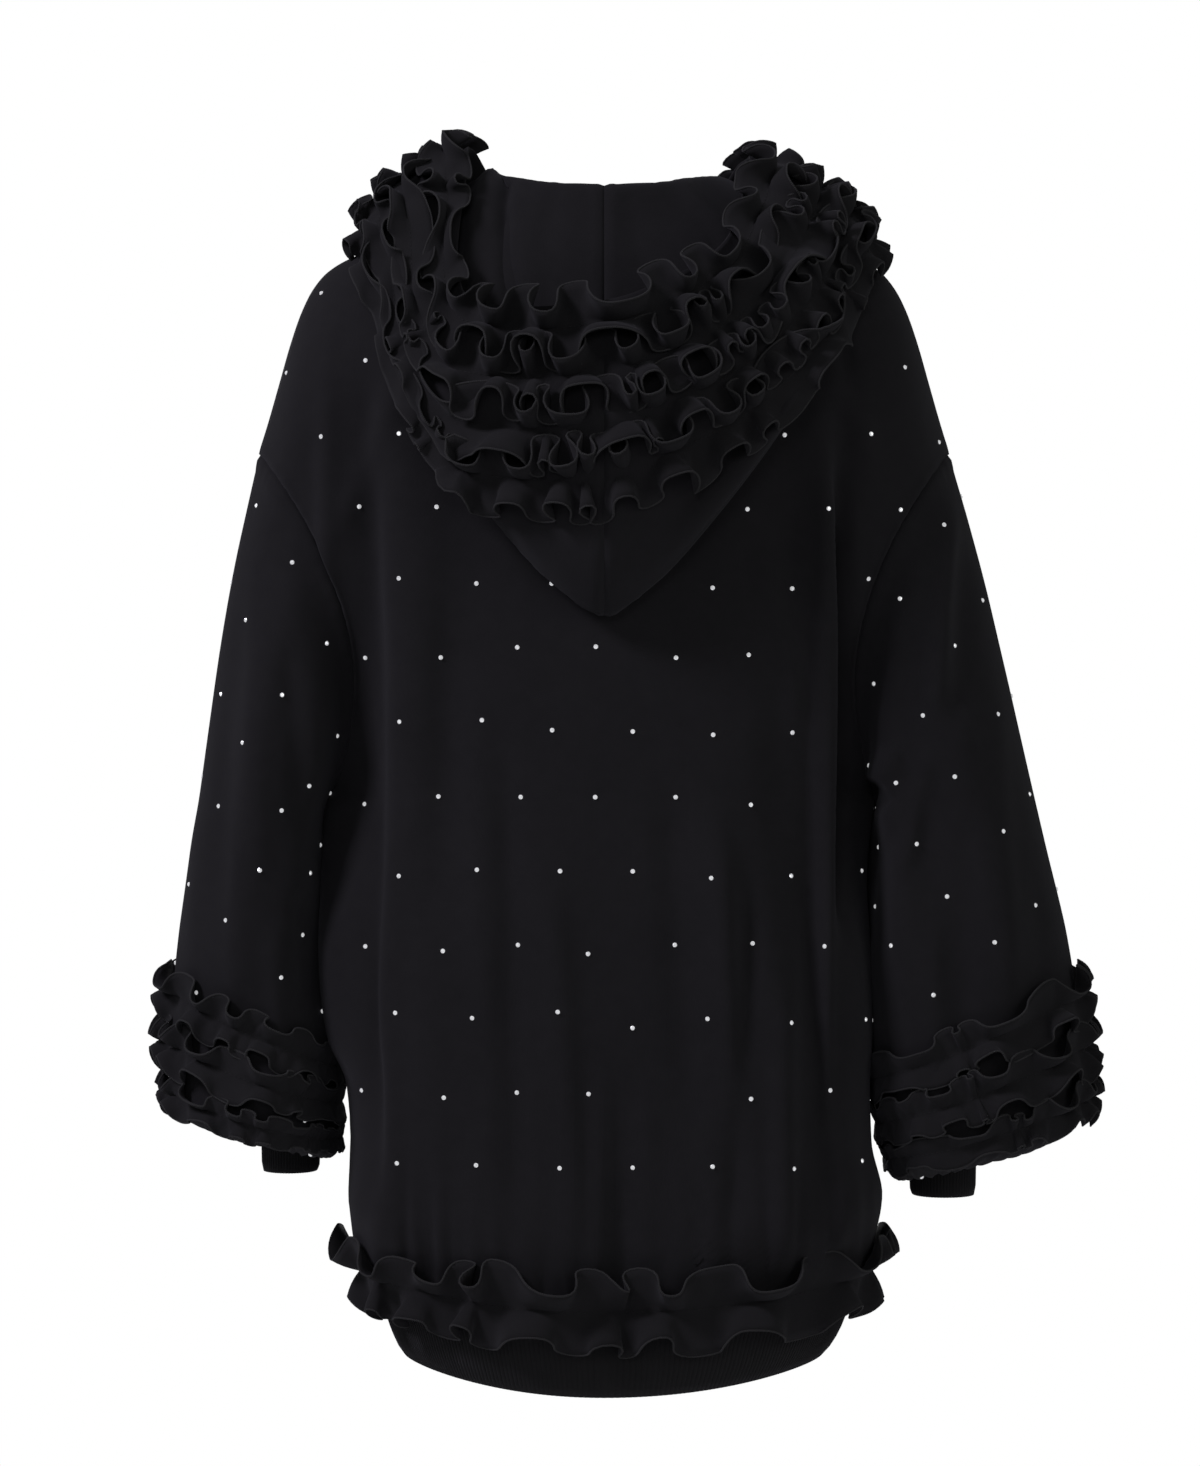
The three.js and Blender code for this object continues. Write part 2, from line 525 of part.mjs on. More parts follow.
// Ring angles of the sleeve, the panels' own at the armhole: over the back from tip to armpit, then the front
const RING_ANGLES = [
  ...ARM_ANGLES.slice().reverse(),
  ...ARM_ANGLES.slice(1, -1).map((a) => 360 - a),
].map(rad);

function addSleeve(side, label) {
  const last = SLEEVE[label].length - 1;
  const rows = [];
  for (let row = 0; row <= last; row++) rows.push(RING_ANGLES.map((a) => sleevePoint(side, a, row)));
  const ordered = side > 0 ? rows.map((r) => r.slice().reverse()) : rows;
  const angles = side > 0 ? RING_ANGLES.slice().reverse() : RING_ANGLES;
  const normalAt = (j, i, n) => (j === 0 ? armholeFrame(side, angles[i]).normal : n);
  add("sleeve_" + label, wall(ordered, CLOTH, { ring: true, normalAt }), JERSEY);
  addCuff(side, label, last);
}

// The rib cuff starts inside the sleeve's end and comes down level from it
function addCuff(side, label, last) {
  const inset = CLOTH / 2 + SEAM + CUFF_RIB / 2;
  const heart = sleeveRing(side, 0, last).add(sleeveRing(side, Math.PI, last)).multiplyScalar(0.5);
  const rows = [0, 0.5, 1].map((share) =>
    RING_ANGLES.map((a) => {
      const p = sleeveRing(side, a, last);
      const inward = heart.clone().sub(p).setZ(0).normalize();
      p.addScaledVector(inward, inset + CUFF_TUCK.narrow * share);
      p.z += CUFF_TUCK.up + (CUFF_END[label] - p.z - CUFF_TUCK.up) * share;
      return p;
    }),
  );
  add("cuff_" + label, wall(rows, CUFF_RIB, { ring: true }), RIB_KNIT);
}

// A point of the lower body by its turn round the middle: 0 is behind and half a turn is the zip
function skinPoint(turn, z, side) {
  const a = column(BODY, side > 0 ? "left" : "right", z);
  const e = 2 / ROUND;
  const share = Math.abs(Math.sin(turn)) ** e;
  const front = Math.cos(turn) < 0;
  const x = side * a * share;
  const b = column(BODY, front ? "front" : "back", z) + foldHeight(front ? FRONT_FOLDS : BACK_FOLDS, x, z);
  return vec(x, (front ? -1 : 1) * b * Math.abs(Math.cos(turn)) ** e, z - hemDip(share, z));
}

const ZIP_TURN = Math.PI - Math.asin((ZIP_EDGE / BODY[0].right) ** (ROUND / 2));

// The rib band below the body, open at the zip
function addHemBand() {
  const { steps } = BAND;
  const levels = [HEM_TOP - SEAM, ...BAND.levels, HEM_BOTTOM];
  const turns = Array.from({ length: 2 * steps + 1 }, (_, i) => ZIP_TURN * (1 - i / steps));
  const rows = levels.map((z) =>
    turns.map((t) => {
      const p = skinPoint(Math.abs(t), z, t >= 0 ? 1 : -1);
      if (Math.abs(t) === ZIP_TURN) p.x = Math.sign(t) * ZIP_EDGE;
      return p;
    }),
  );
  const normalAt = (j, i, n) => (j === 0 || j === levels.length - 1 ? vec(n.x, n.y, 0).normalize() : n);
  add("hem_band", wall(rows, RIB, { normalAt }), RIB_KNIT);
}

// Radius at which the body is left behind, going out from the middle in a direction at a level
function bodyRadius(dir, z) {
  const s = Math.sin(dir);
  const c = Math.cos(dir);
  const front = c < 0;
  let { low, high } = SEARCH;
  for (let k = 0; k < SEARCH.times; k++) {
    const r = (low + high) / 2;
    const x = r * s;
    const under = topEdge(x, front).z > z;
    const a = column(BODY, x >= 0 ? "left" : "right", z);
    if (under && Math.abs(x) < a && r * Math.abs(c) < bodyDepth(x, z, front)) low = r;
    else high = r;
  }
  return (low + high) / 2;
}

// The neck edge is the panels' own polygon: its radius and height in a direction
function neckProfile(dir) {
  const s = Math.abs(Math.sin(dir));
  const c = Math.cos(dir);
  const corners = NECK_ANGLES.map((degrees) => {
    const x = NECK_HALF * Math.sin(rad(degrees));
    const front = degrees > 90;
    const top = topEdge(x, front);
    return { x, y: front ? -top.y : top.y, z: top.z };
  });
  let k = 0;
  while (k < corners.length - 2 && s * corners[k + 1].y > c * corners[k + 1].x) k += 1;
  const a = corners[k];
  const b = corners[k + 1];
  const [dx, dy] = [b.x - a.x, b.y - a.y];
  const r = (a.x * dy - a.y * dx) / (s * dy - c * dx);
  const share = Math.hypot(r * s - a.x, r * c - a.y) / Math.hypot(dx, dy);
  return { r: r - HOOD_INSET, z: a.z + (b.z - a.z) * share - HOOD_SINK };
}

// Hood profile in the upright plane of one direction: t 0 to 1 stand, 1 to 2 inner wall, 2 to 3 outer wall
function hoodProfile(degrees, t) {
  const dir = rad(degrees);
  const get = (name) => column(HOOD, name, degrees, "dir");
  const neck = neckProfile(dir);
  const crest = { r: get("crestR"), z: get("crestZ") };
  const bag = { r: get("bagR"), z: get("bagZ") };
  const lip = { r: get("lipR"), z: get("lipZ") };
  const clear = (z) => bodyRadius(dir, z - HOOD_CLEAR) + HOOD_CLEAR;
  let r;
  let z;
  if (t < 1) {
    const u = t;
    r = neck.r + (crest.r - neck.r) * u * u;
    z = neck.z + (crest.z - neck.z) * Math.sin((u * Math.PI) / 2);
  } else if (t < 2) {
    const u = t - 1;
    z = crest.z + (bag.z - crest.z) * u;
    const belly = BAG.belly * Math.sin(Math.PI * Math.min(1, u * 2));
    const direct = crest.r + (bag.r - crest.r) * u + belly;
    r = Math.max(direct, clear(z));
  } else {
    const u = t - 2;
    const base = Math.max(bag.r, clear(bag.z));
    const turn = ease(u / BAG.turn);
    r = base + (lip.r - base) * u + (BAG_ROUND + get("bulge") * Math.sin(Math.PI * u)) * turn;
    r -= BAG_ROUND * ease((u - BAG.lipFrom) / BAG.lipOver);
    const drop = BAG_ROUND * BAG.drop * Math.sin(Math.PI * Math.min(1, u / BAG.dropOver));
    z = bag.z + (lip.z - bag.z) * u - drop;
  }
  return { r, z };
}

function hoodPoint(degrees, t) {
  const { r, z } = hoodProfile(degrees, t);
  return vec(r * Math.sin(rad(degrees)), r * Math.cos(rad(degrees)), z);
}

const HOOD_STEPS = [0, 0.5, 1, 1.12, 1.3, 1.55, 1.8, 2, 2.06, 2.16, 2.32, 2.5, 2.68, 2.85, 3];
const HOOD_DIRS = [0, 12, 24, 35, 46, 56, 66, 75, 83, 91, 101, 112, 124, 137, 150, 164, 176];

function addHood() {
  for (const side of [1, -1]) {
    const rows = HOOD_DIRS.map((d) =>
      HOOD_STEPS.map((t) => {
        const p = hoodPoint(side * d, t);
        if (d === 0) p.x = (side * SEAM) / 2;
        return p;
      }),
    );
    const normalAt = (j, i, n) => (j === 0 ? vec(0, n.y, n.z).normalize() : n);
    add(side > 0 ? "hood_left" : "hood_right", wall(rows, CLOTH, { normalAt }), JERSEY);
  }
}

// A ruffle: a strip gathered along its middle. Each edge stands off the cloth at an angle that swings
// in waves, and leans along the row, so that lobes open and close. frame(w) gives point, normal and across.
function ruffle(frame, { waves, half, least, most, closedRing = false, phase = 0 }) {
  const steps = waves * STEPS_PER_WAVE;
  const rows = [];
  const count = closedRing ? steps : steps + 1;
  const wave = (2 * Math.PI) / STEPS_PER_WAVE;
  for (let i = 0; i < count; i++) {
    const w = i / steps;
    const f = frame(w);
    const h = half(w) * f.square;
    const uneven = RUFFLE.even + RUFFLE.uneven * Math.sin(2 * Math.PI * RUFFLE.beats * w + phase);
    const edge = (sign, shift) => {
      const swing = Math.sin(wave * i + shift + Math.PI / 4) * uneven;
      const low = least(w);
      const angle = rad(low + (most(w) - low) * (0.5 + 0.5 * swing));
      return f.point
        .clone()
        .addScaledVector(f.across, sign * h * Math.cos(angle))
        .addScaledVector(f.normal, h * Math.sin(angle));
    };
    rows.push([edge(1, phase), f.point.clone(), edge(-1, phase + RUFFLE.apart)]);
  }
  const grid = [0, 1, 2].map((k) => rows.map((r) => r[k]));
  return wall(grid, FRILL, { ring: closedRing });
}

// Frame of a row on a surface: point moved out from the cloth, its normal, and the way across the row
function rowFrame(surface, w, step, lift) {
  const a = surface(w - step, 0);
  const b = surface(w + step, 0);
  const along = b.clone().sub(a).normalize();
  const rise = surface(w, step).sub(surface(w, -step)).normalize();
  const normal = along.clone().cross(rise);
  const square = normal.length();
  normal.normalize();
  const across = normal.clone().cross(along).normalize();
  return { point: surface(w, 0).addScaledVector(normal, lift), normal, across, square };
}

const FRILL_LIFT = CLOTH / 2 + RUFFLE.clear + FRILL / 2;

function addCuffFrills(side, label) {
  const [, second, third] = CUFF_FRILLS;
  const lastGap = (w) => {
    const angle = side * 2 * Math.PI * w;
    return sleevePoint(side, angle, second.ring).distanceTo(sleevePoint(side, angle, third.ring));
  };
  for (const f of CUFF_FRILLS) {
    const surface = (w, v) => sleevePoint(side, side * 2 * Math.PI * w, f.ring - v);
    const frame = (w) => rowFrame(surface, w, RUFFLE.step, FRILL_LIFT);
    const outside = (w) => 0.5 + 0.5 * Math.cos(2 * Math.PI * w);
    const spacing = (w) => surface(w, 0.5).distanceTo(surface(w, -0.5));
    const shape = ruffle(frame, {
      waves: f.waves,
      half: (w) => Math.min(CUFF_FRILL_HALF, RUFFLE.room * Math.min(spacing(w), lastGap(w))),
      least: () => RUFFLE.least,
      most: (w) => CUFF_WAVE.least + CUFF_WAVE.more * outside(w),
      closedRing: true,
      phase: f.shift,
    });
    add("cuff_frill_" + label + "_" + (f.ring - CUFF_FRILLS[0].ring + 1), shape, FRILL_JERSEY);
  }
}

function addHemFrill() {
  const reach = ZIP_TURN - HEM_WAVE.short;
  const surface = (w, v) => {
    const turn = reach * (1 - 2 * w);
    return skinPoint(Math.abs(turn), HEM_FRILL.z + FRAME_RISE * v, turn >= 0 ? 1 : -1);
  };
  const { step, lift } = HEM_WAVE;
  const inner = (w) => Math.min(1 - step, Math.max(step, w));
  const frame = (w) => rowFrame(surface, inner(w), step, FRILL_LIFT + lift);
  const shape = ruffle(frame, {
    waves: HEM_FRILL.waves,
    half: () => HEM_FRILL.half,
    least: () => HEM_WAVE.least,
    most: (w) => HEM_WAVE.most + HEM_WAVE.more * ease(Math.min(w, 1 - w) / HEM_WAVE.over),
    phase: HEM_WAVE.phase,
  });
  add("hem_frill", shape, FRILL_JERSEY);
}

// Length of the hood's outer wall in one direction, from lip to bag bottom
function outerLength(degrees) {
  let sum = 0;
  const { pieces } = HOOD_WAVE;
  for (let k = 0; k < pieces; k++) {
    sum += hoodPoint(degrees, 2 + k / pieces).distanceTo(hoodPoint(degrees, 2 + (k + 1) / pieces));
  }
  return sum;
}

function addHoodFrills() {
  for (const f of HOOD_FRILLS) {
    const spacing = (d) => Math.min(HOOD_FRILL_STEP, outerLength(d) / HOOD_WAVE.rows);
    const surface = (w, v) => {
      const degrees = f.to * (1 - 2 * w);
      const down = (f.row + 0.5) * spacing(degrees) - v * FRAME_RISE;
      return hoodPoint(degrees, 3 - down / outerLength(degrees));
    };
    const shape = ruffle((w) => rowFrame(surface, w, RUFFLE.step, FRILL_LIFT + f.lift), {
      waves: f.waves,
      half: (w) => Math.min(HOOD_FRILL_HALF, RUFFLE.room * spacing(f.to * (1 - 2 * w))),
      least: () => RUFFLE.least,
      most: () => f.most,
      phase: f.row * HOOD_WAVE.phase,
    });
    add("hood_frill_" + (f.row + 1), shape, FRILL_JERSEY);
  }
}

// Middle of the front opening at a level: the point on the cloth, the way out of it and the way up
function zipFrame(z) {
  const at = (level) => {
    const p = bodyPoint(ZIP_EDGE, level, true);
    return p.setX(0);
  };
  const up = at(z + 1).sub(at(z - 1)).normalize();
  return { point: at(z), out: vec(0, -up.z, up.y), up };
}

// Pairs of points on the cloth beside the zip, from the hem up: the front edge, and a place further from it
function zipRows(side) {
  const bandLevels = [HEM_BOTTOM, -830, -812];
  const onBand = bandLevels.map((z) => [ZIP_EDGE, 2 * TAPE_REACH].map((x) => bodyPoint(side * x, z, true)));
  const onPanel = panelRows([0, side * SHARES[1]], true);
  return [...onBand, ...onPanel.slice(0, -1)];
}

// Each tape lies behind a front edge, with the closed teeth as one bead that fills the gap between the edges
function addZipTapes() {
  const section = [
    [CHAIN_IN, -TAPE / 2],
    [TAPE_REACH, -TAPE / 2],
    [TAPE_REACH, TAPE / 2],
    [CHAIN_OUT, TAPE / 2],
    [CHAIN_OUT, CHAIN_THICK - TAPE / 2],
    [CHAIN_IN, CHAIN_THICK - TAPE / 2],
  ];
  const caps = [[0, 1, 2], [0, 2, 3], [0, 3, 4], [0, 4, 5]];
  const count = section.length;
  for (const side of [1, -1]) {
    const rows = zipRows(side);
    const last = rows.length - 1;
    const points = rows.flatMap(([edge, far], j) => {
      const up = rows[Math.min(j + 1, last)][0].clone().sub(rows[Math.max(j - 1, 0)][0]).normalize();
      const out = vec(0, -up.z, up.y);
      return section.map(([x, n]) => {
        const share = Math.max(0, (x - ZIP_EDGE) / (Math.abs(far.x) - ZIP_EDGE));
        const p = edge.clone().lerp(far, share).addScaledVector(out, n - TAPE_BEHIND);
        return p.setX(side * x);
      });
    });
    const faces = [];
    for (let j = 0; j < last; j++)
      for (let i = 0; i < count; i++) {
        const [a, b] = [j * count + i, j * count + ((i + 1) % count)];
        faces.push(a, b, b + count, a, b + count, a + count);
      }
    for (const [a, b, c] of caps) {
      faces.push(c, b, a);
      faces.push(last * count + a, last * count + b, last * count + c);
    }
    add(side > 0 ? "zip_tape_left" : "zip_tape_right", closed(points, faces), ZIP_TAPE);
  }
}

const wasm = await Module();
wasm.setup();

function toSolid(geometry) {
  const bare = geometry.clone();
  bare.deleteAttribute("normal");
  bare.deleteAttribute("uv");
  const merged = mergeVertices(bare, 1e-4);
  const vertProperties = new Float32Array(merged.attributes.position.array);
  const triVerts = new Uint32Array(merged.index.array);
  return new wasm.Manifold(new wasm.Mesh({ numProp: 3, vertProperties, triVerts }));
}

function fromSolid(solid) {
  const mesh = solid.getMesh();
  const geometry = new THREE.BufferGeometry();
  geometry.setAttribute("position", new THREE.Float32BufferAttribute(mesh.vertProperties, 3));
  geometry.setIndex(Array.from(mesh.triVerts));
  geometry.computeVertexNormals();
  return geometry;
}

// Slider and pull tab in their own frame: x across, -y out of the cloth, z up along the teeth
function addSlider() {
  const f = zipFrame(SLIDER.z);
  const holder = new THREE.Group();
  holder.position.copy(f.point).addScaledVector(f.out, CHAIN_THICK - TAPE / 2 - TAPE_BEHIND);
  holder.rotation.x = -Math.atan2(f.up.y, f.up.z);
  garment.add(holder);
  const box = (sx, sy, sz, x, y, z) => toSolid(new THREE.BoxGeometry(sx, sy, sz).translate(x, y, z));
  const s = SLIDER;
  const plateY = -s.gap - s.plate / 2;
  let body = box(s.wide, s.plate, s.long, 0, plateY, 0);
  for (const side of [1, -1]) {
    const lipX = side * (s.wide / 2 - s.lip / 2);
    const { clear, lap } = SLIDER_FIT;
    const depth = s.gap + CHAIN_THICK - TAPE - clear;
    body = body.add(box(s.lip, depth + lap, s.long, lipX, depth / 2 - s.gap - lap / 2, 0));
    const earX = side * (BRIDGE.half + BRIDGE.ear / 2);
    const face = -s.gap - s.plate;
    const deep = BRIDGE.off + BRIDGE.bar + EAR_FIT.over;
    const earY = face - deep / 2 + EAR_FIT.lap / 2;
    body = body.add(box(BRIDGE.ear, deep + EAR_FIT.lap, EAR_FIT.long, earX, earY, BRIDGE.up));
  }
  const bar = new THREE.CylinderGeometry(BRIDGE.bar, BRIDGE.bar, 2 * BRIDGE.half + 1, 10).rotateZ(Math.PI / 2);
  const hingeY = -s.gap - s.plate - BRIDGE.off;
  body = body.add(toSolid(bar.translate(0, hingeY, BRIDGE.up)));
  add("zip_slider", fromSolid(body), ZIP_METAL, holder);

  const hinge = new THREE.Group();
  hinge.position.set(0, hingeY, BRIDGE.up);
  hinge.rotation.x = rad(PULL.lean);
  holder.add(hinge);
  add("zip_pull", pullGeometry(), ZIP_METAL, hinge);
}

// Pull tab: an eye round the bridge and a strap with a round end, cut from one outline
function pullGeometry() {
  const p = PULL;
  const outline = new THREE.Shape();
  const neck = Math.asin(p.thick / 2 / p.eye);
  outline.absarc(0, 0, p.eye, -Math.PI / 2 + neck, (3 * Math.PI) / 2 - neck, false);
  outline.lineTo(-p.thick / 2, -p.long);
  outline.lineTo(p.thick / 2, -p.long);
  const hole = new THREE.Path();
  hole.absarc(0, 0, p.hole, 0, 2 * Math.PI, true);
  outline.holes.push(hole);
  const options = { depth: p.wide, bevelEnabled: false, curveSegments: 12 };
  const shape = new THREE.ExtrudeGeometry(outline, options).translate(0, 0, -p.wide / 2);
  return shape.rotateX(Math.PI / 2).rotateZ(Math.PI / 2);
}

addBodyPanels();
addSleeve(1, "left");
addSleeve(-1, "right");
addHemBand();
addHood();
addCuffFrills(1, "left");
addCuffFrills(-1, "right");
addHemFrill();
addHoodFrills();
addZipTapes();
addSlider();

export default garment;
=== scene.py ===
# %% [markdown]
# # A zip up hoodie, seen from behind, as a worn shell of sewn cloth
# Every cloth piece here is a grid of points. One number runs along the piece and one across it, and a formula
# says where each pair lies. The formulas are the ones that the solid model uses, in millimetres, with a finer
# grid and the small folds that only the picture needs.

import bpy
import numpy as np
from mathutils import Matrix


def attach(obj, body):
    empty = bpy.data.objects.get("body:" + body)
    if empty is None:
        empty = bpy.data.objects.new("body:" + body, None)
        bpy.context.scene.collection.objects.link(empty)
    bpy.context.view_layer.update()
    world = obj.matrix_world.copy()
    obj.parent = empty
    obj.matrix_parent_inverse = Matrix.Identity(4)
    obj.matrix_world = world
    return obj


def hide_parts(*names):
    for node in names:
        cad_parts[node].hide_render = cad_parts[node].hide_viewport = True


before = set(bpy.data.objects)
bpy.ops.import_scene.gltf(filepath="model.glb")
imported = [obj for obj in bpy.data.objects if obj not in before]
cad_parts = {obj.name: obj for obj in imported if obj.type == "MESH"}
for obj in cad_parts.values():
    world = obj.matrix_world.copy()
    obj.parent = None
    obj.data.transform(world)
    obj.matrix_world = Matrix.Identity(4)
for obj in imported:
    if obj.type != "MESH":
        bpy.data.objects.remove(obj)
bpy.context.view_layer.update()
print("nodes of the solid model:", len(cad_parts))

MM = 0.001
TAU = 2 * np.pi
SEED = 11

# %% [markdown]
# ## Camera, light and floor
# The camera looks at the back from 3.5 m, level with the middle of the picture. The lens gives the photograph's
# frame: 1466 pixels of 0.74 mm each, over a sensor 36 mm high.

# %% Camera and light
PIXEL = 0.74
PICTURE_HIGH = 1466
DISTANCE = 3.5
SENSOR = 36.0

eye = bpy.data.cameras.new("camera")
eye.sensor_fit = "VERTICAL"
eye.sensor_height = SENSOR
eye.lens = SENSOR * DISTANCE / (PICTURE_HIGH * PIXEL * MM)
camera = bpy.data.objects.new("camera", eye)
camera.location = (0.003, DISTANCE, -0.391)
camera.rotation_euler = (np.radians(90), 0, np.radians(180))
bpy.context.collection.objects.link(camera)
bpy.context.scene.camera = camera
bpy.context.scene.view_settings.view_transform = "Standard"


def area_light(name, at, look, size, power, color):
    """A square soft light at one point that looks at another."""
    data = bpy.data.lights.new(name, "AREA")
    data.size = size
    data.energy = power
    data.color = color
    lamp = bpy.data.objects.new(name, data)
    lamp.location = at
    away = np.array(at, float) - np.array(look, float)
    flat = np.hypot(away[0], away[1])
    lamp.rotation_euler = (np.arctan2(flat, away[2]), 0, np.arctan2(away[0], -away[1]) + 0.0)
    bpy.context.collection.objects.link(lamp)


area_light("key", (2.4, 1.6, 1.8), (0, 0, -0.25), 0.8, 68, (0.93, 0.89, 1.0))
area_light("fill", (0.35, 3.2, 0.5), (0, 0, -0.3), 0.8, 9, (1.0, 1.0, 1.0))
area_light("side", (-2.5, 1.9, 0.4), (0, 0, -0.45), 1.4, 12, (1.0, 1.0, 0.95))
area_light("front", (0.3, -3.3, 0.2), (0, 0, -0.4), 1.4, 40, (1.0, 1.0, 1.0))

world = bpy.data.worlds.new("studio")
world.use_nodes = True
bpy.context.scene.world = world
sky = world.node_tree
sky.nodes.clear()
sky_out = sky.nodes.new("ShaderNodeOutputWorld")
sky_seen = sky.nodes.new("ShaderNodeBackground")
sky_light = sky.nodes.new("ShaderNodeBackground")
sky_mix = sky.nodes.new("ShaderNodeMixShader")
ray = sky.nodes.new("ShaderNodeLightPath")
sky_seen.inputs["Color"].default_value = (1, 1, 1, 1)
sky_seen.inputs["Strength"].default_value = 1.0
sky_light.inputs["Color"].default_value = (0.98, 1.0, 0.98, 1)
sky_light.inputs["Strength"].default_value = 0.17
sky.links.new(ray.outputs["Is Camera Ray"], sky_mix.inputs[0])
sky.links.new(sky_light.outputs[0], sky_mix.inputs[1])
sky.links.new(sky_seen.outputs[0], sky_mix.inputs[2])
sky.links.new(sky_mix.outputs[0], sky_out.inputs["Surface"])

# %% [markdown]
# ## Materials
# Black cloth is never one flat tone. A nap, a stitch grain and broad cloudy patches come from noise, and each
# is small. The colours, grain sizes and depths stand in the calls below.


# %% Shader parts
def new_group(name, inputs, outputs):
    """A shared node group with float inputs (name, default) and named outputs."""
    group = bpy.data.node_groups.new(name, "ShaderNodeTree")
    for label, value in inputs:
        socket = group.interface.new_socket(label, in_out="INPUT", socket_type="NodeSocketFloat")
        socket.default_value = value
    for label, kind in outputs:
        group.interface.new_socket(label, in_out="OUTPUT", socket_type="NodeSocket" + kind)
    return group, group.nodes.new("NodeGroupInput"), group.nodes.new("NodeGroupOutput")


def math_node(tree, operation, a, b=None):
    """A math node from sockets or numbers."""
    node = tree.nodes.new("ShaderNodeMath")
    node.operation = operation
    for k, value in enumerate((a, b)):
        if value is None:
            continue
        if isinstance(value, (int, float)):
            node.inputs[k].default_value = value
        else:
            tree.links.new(value, node.inputs[k])
    return node.outputs[0]


def noise_node(tree, vector, scale, detail=2.0, rough=0.5):
    node = tree.nodes.new("ShaderNodeTexNoise")
    tree.links.new(vector, node.inputs["Vector"])
    if isinstance(scale, (int, float)):
        node.inputs["Scale"].default_value = scale
    else:
        tree.links.new(scale, node.inputs["Scale"])
    node.inputs["Detail"].default_value = detail
    node.inputs["Roughness"].default_value = rough
    return node.outputs["Fac"]


def mix_color(tree, share, a, b):
    node = tree.nodes.new("ShaderNodeMix")
    node.data_type = "RGBA"
    tree.links.new(share, node.inputs["Factor"])
    node.inputs["A"].default_value = (*a, 1)
    node.inputs["B"].default_value = (*b, 1)
    return node.outputs["Result"]


def cloth_group():
    """Nap and stitch grain. Height is in millimetres and Tone runs from 0 to 1."""
    sizes = [("Wales", 1100.0), ("Courses", 900.0), ("Grain", 0.05), ("Nap", 0.06)]
    group, given, out = new_group("cloth grain", sizes, [("Height", "Float"), ("Tone", "Float")])
    coords = group.nodes.new("ShaderNodeTexCoord")
    split = group.nodes.new("ShaderNodeSeparateXYZ")
    group.links.new(coords.outputs["UV"], split.inputs[0])
    turn = math_node(group, "MULTIPLY", given.outputs["Wales"], TAU)
    across = math_node(group, "SINE", math_node(group, "MULTIPLY", split.outputs["X"], turn))
    climb = math_node(group, "MULTIPLY", given.outputs["Courses"], TAU)
    slant = math_node(group, "ABSOLUTE", across)
    up = math_node(group, "ADD", math_node(group, "MULTIPLY", split.outputs["Y"], climb), slant)
    rows = math_node(group, "SINE", up)
    loops = math_node(group, "MULTIPLY_ADD", rows, 0.4)
    group.links.new(across, loops.node.inputs[2])
    grain = math_node(group, "MULTIPLY", loops, given.outputs["Grain"])
    nap = noise_node(group, coords.outputs["Object"], 520.0, 3.0, 0.6)
    height = math_node(group, "ADD", grain, math_node(group, "MULTIPLY", nap, given.outputs["Nap"]))
    broad = noise_node(group, coords.outputs["Object"], 9.0, 3.0, 0.55)
    mottle = noise_node(group, coords.outputs["Object"], 85.0, 2.0, 0.6)
    tone = math_node(group, "ADD", math_node(group, "MULTIPLY", broad, 0.6), math_node(group, "MULTIPLY", mottle, 0.4))
    group.links.new(height, out.inputs["Height"])
    group.links.new(tone, out.inputs["Tone"])
    return group


GRAIN = cloth_group()


def set_inputs(shader, **values):
    for label, value in values.items():
        shader.inputs[label.replace("_", " ")].default_value = value


def material(name):
    made = bpy.data.materials.new(name)
    made.use_nodes = True
    tree = made.node_tree
    return made, tree, tree.nodes["Principled BSDF"]


def cloth(name, dark, light, rough=0.93, sheen=0.05, wales=1100.0, courses=900.0, grain=0.05, nap=0.06):
    """Matt cloth: two close tones mixed by the grain group, with its bump."""
    made, tree, shader = material(name)
    node = tree.nodes.new("ShaderNodeGroup")
    node.node_tree = GRAIN
    set_inputs(node, Wales=wales, Courses=courses, Grain=grain, Nap=nap)
    tree.links.new(mix_color(tree, node.outputs["Tone"], dark, light), shader.inputs["Base Color"])
    bump = tree.nodes.new("ShaderNodeBump")
    bump.inputs["Distance"].default_value = MM
    bump.inputs["Strength"].default_value = 0.7
    tree.links.new(node.outputs["Height"], bump.inputs["Height"])
    tree.links.new(bump.outputs["Normal"], shader.inputs["Normal"])
    set_inputs(shader, Roughness=rough, Sheen_Weight=sheen, Sheen_Roughness=0.55, Specular_IOR_Level=0.08)
    shader.inputs["Sheen Tint"].default_value = (0.75, 0.74, 0.85, 1)
    return made


JERSEY = cloth("black sweat jersey", (0.0088, 0.0084, 0.0098), (0.017, 0.0163, 0.0186))
RIB_KNIT = cloth("black rib knit", (0.0098, 0.0096, 0.0104), (0.0168, 0.0164, 0.0176), grain=0.06)
FRILL_CLOTH = cloth("ruffle jersey", (0.0094, 0.0091, 0.0103), (0.0176, 0.017, 0.0188), nap=0.05)
EDGE_THREAD = cloth("overlock thread", (0.019, 0.0188, 0.02), (0.036, 0.0355, 0.037), wales=700.0, courses=100.0, grain=0.2)
SEWING_THREAD = cloth("sewing thread", (0.012, 0.012, 0.013), (0.02, 0.02, 0.021), wales=2500.0, grain=0.1)
TAPE_CLOTH = cloth("zip tape", (0.007, 0.007, 0.008), (0.012, 0.012, 0.013), wales=1700.0, courses=1700.0, grain=0.08)

# %% [markdown]
# ## Tables of the worn form
# These are the solid model's own numbers. A table's column is read at any value through a smooth curve with no
# overshoot, so a few rows are enough for a whole side of the body.


# %% Formulas shared by the pieces
def table(names, *rows):
    return dict(zip(names.split(), np.array(rows, float).T))


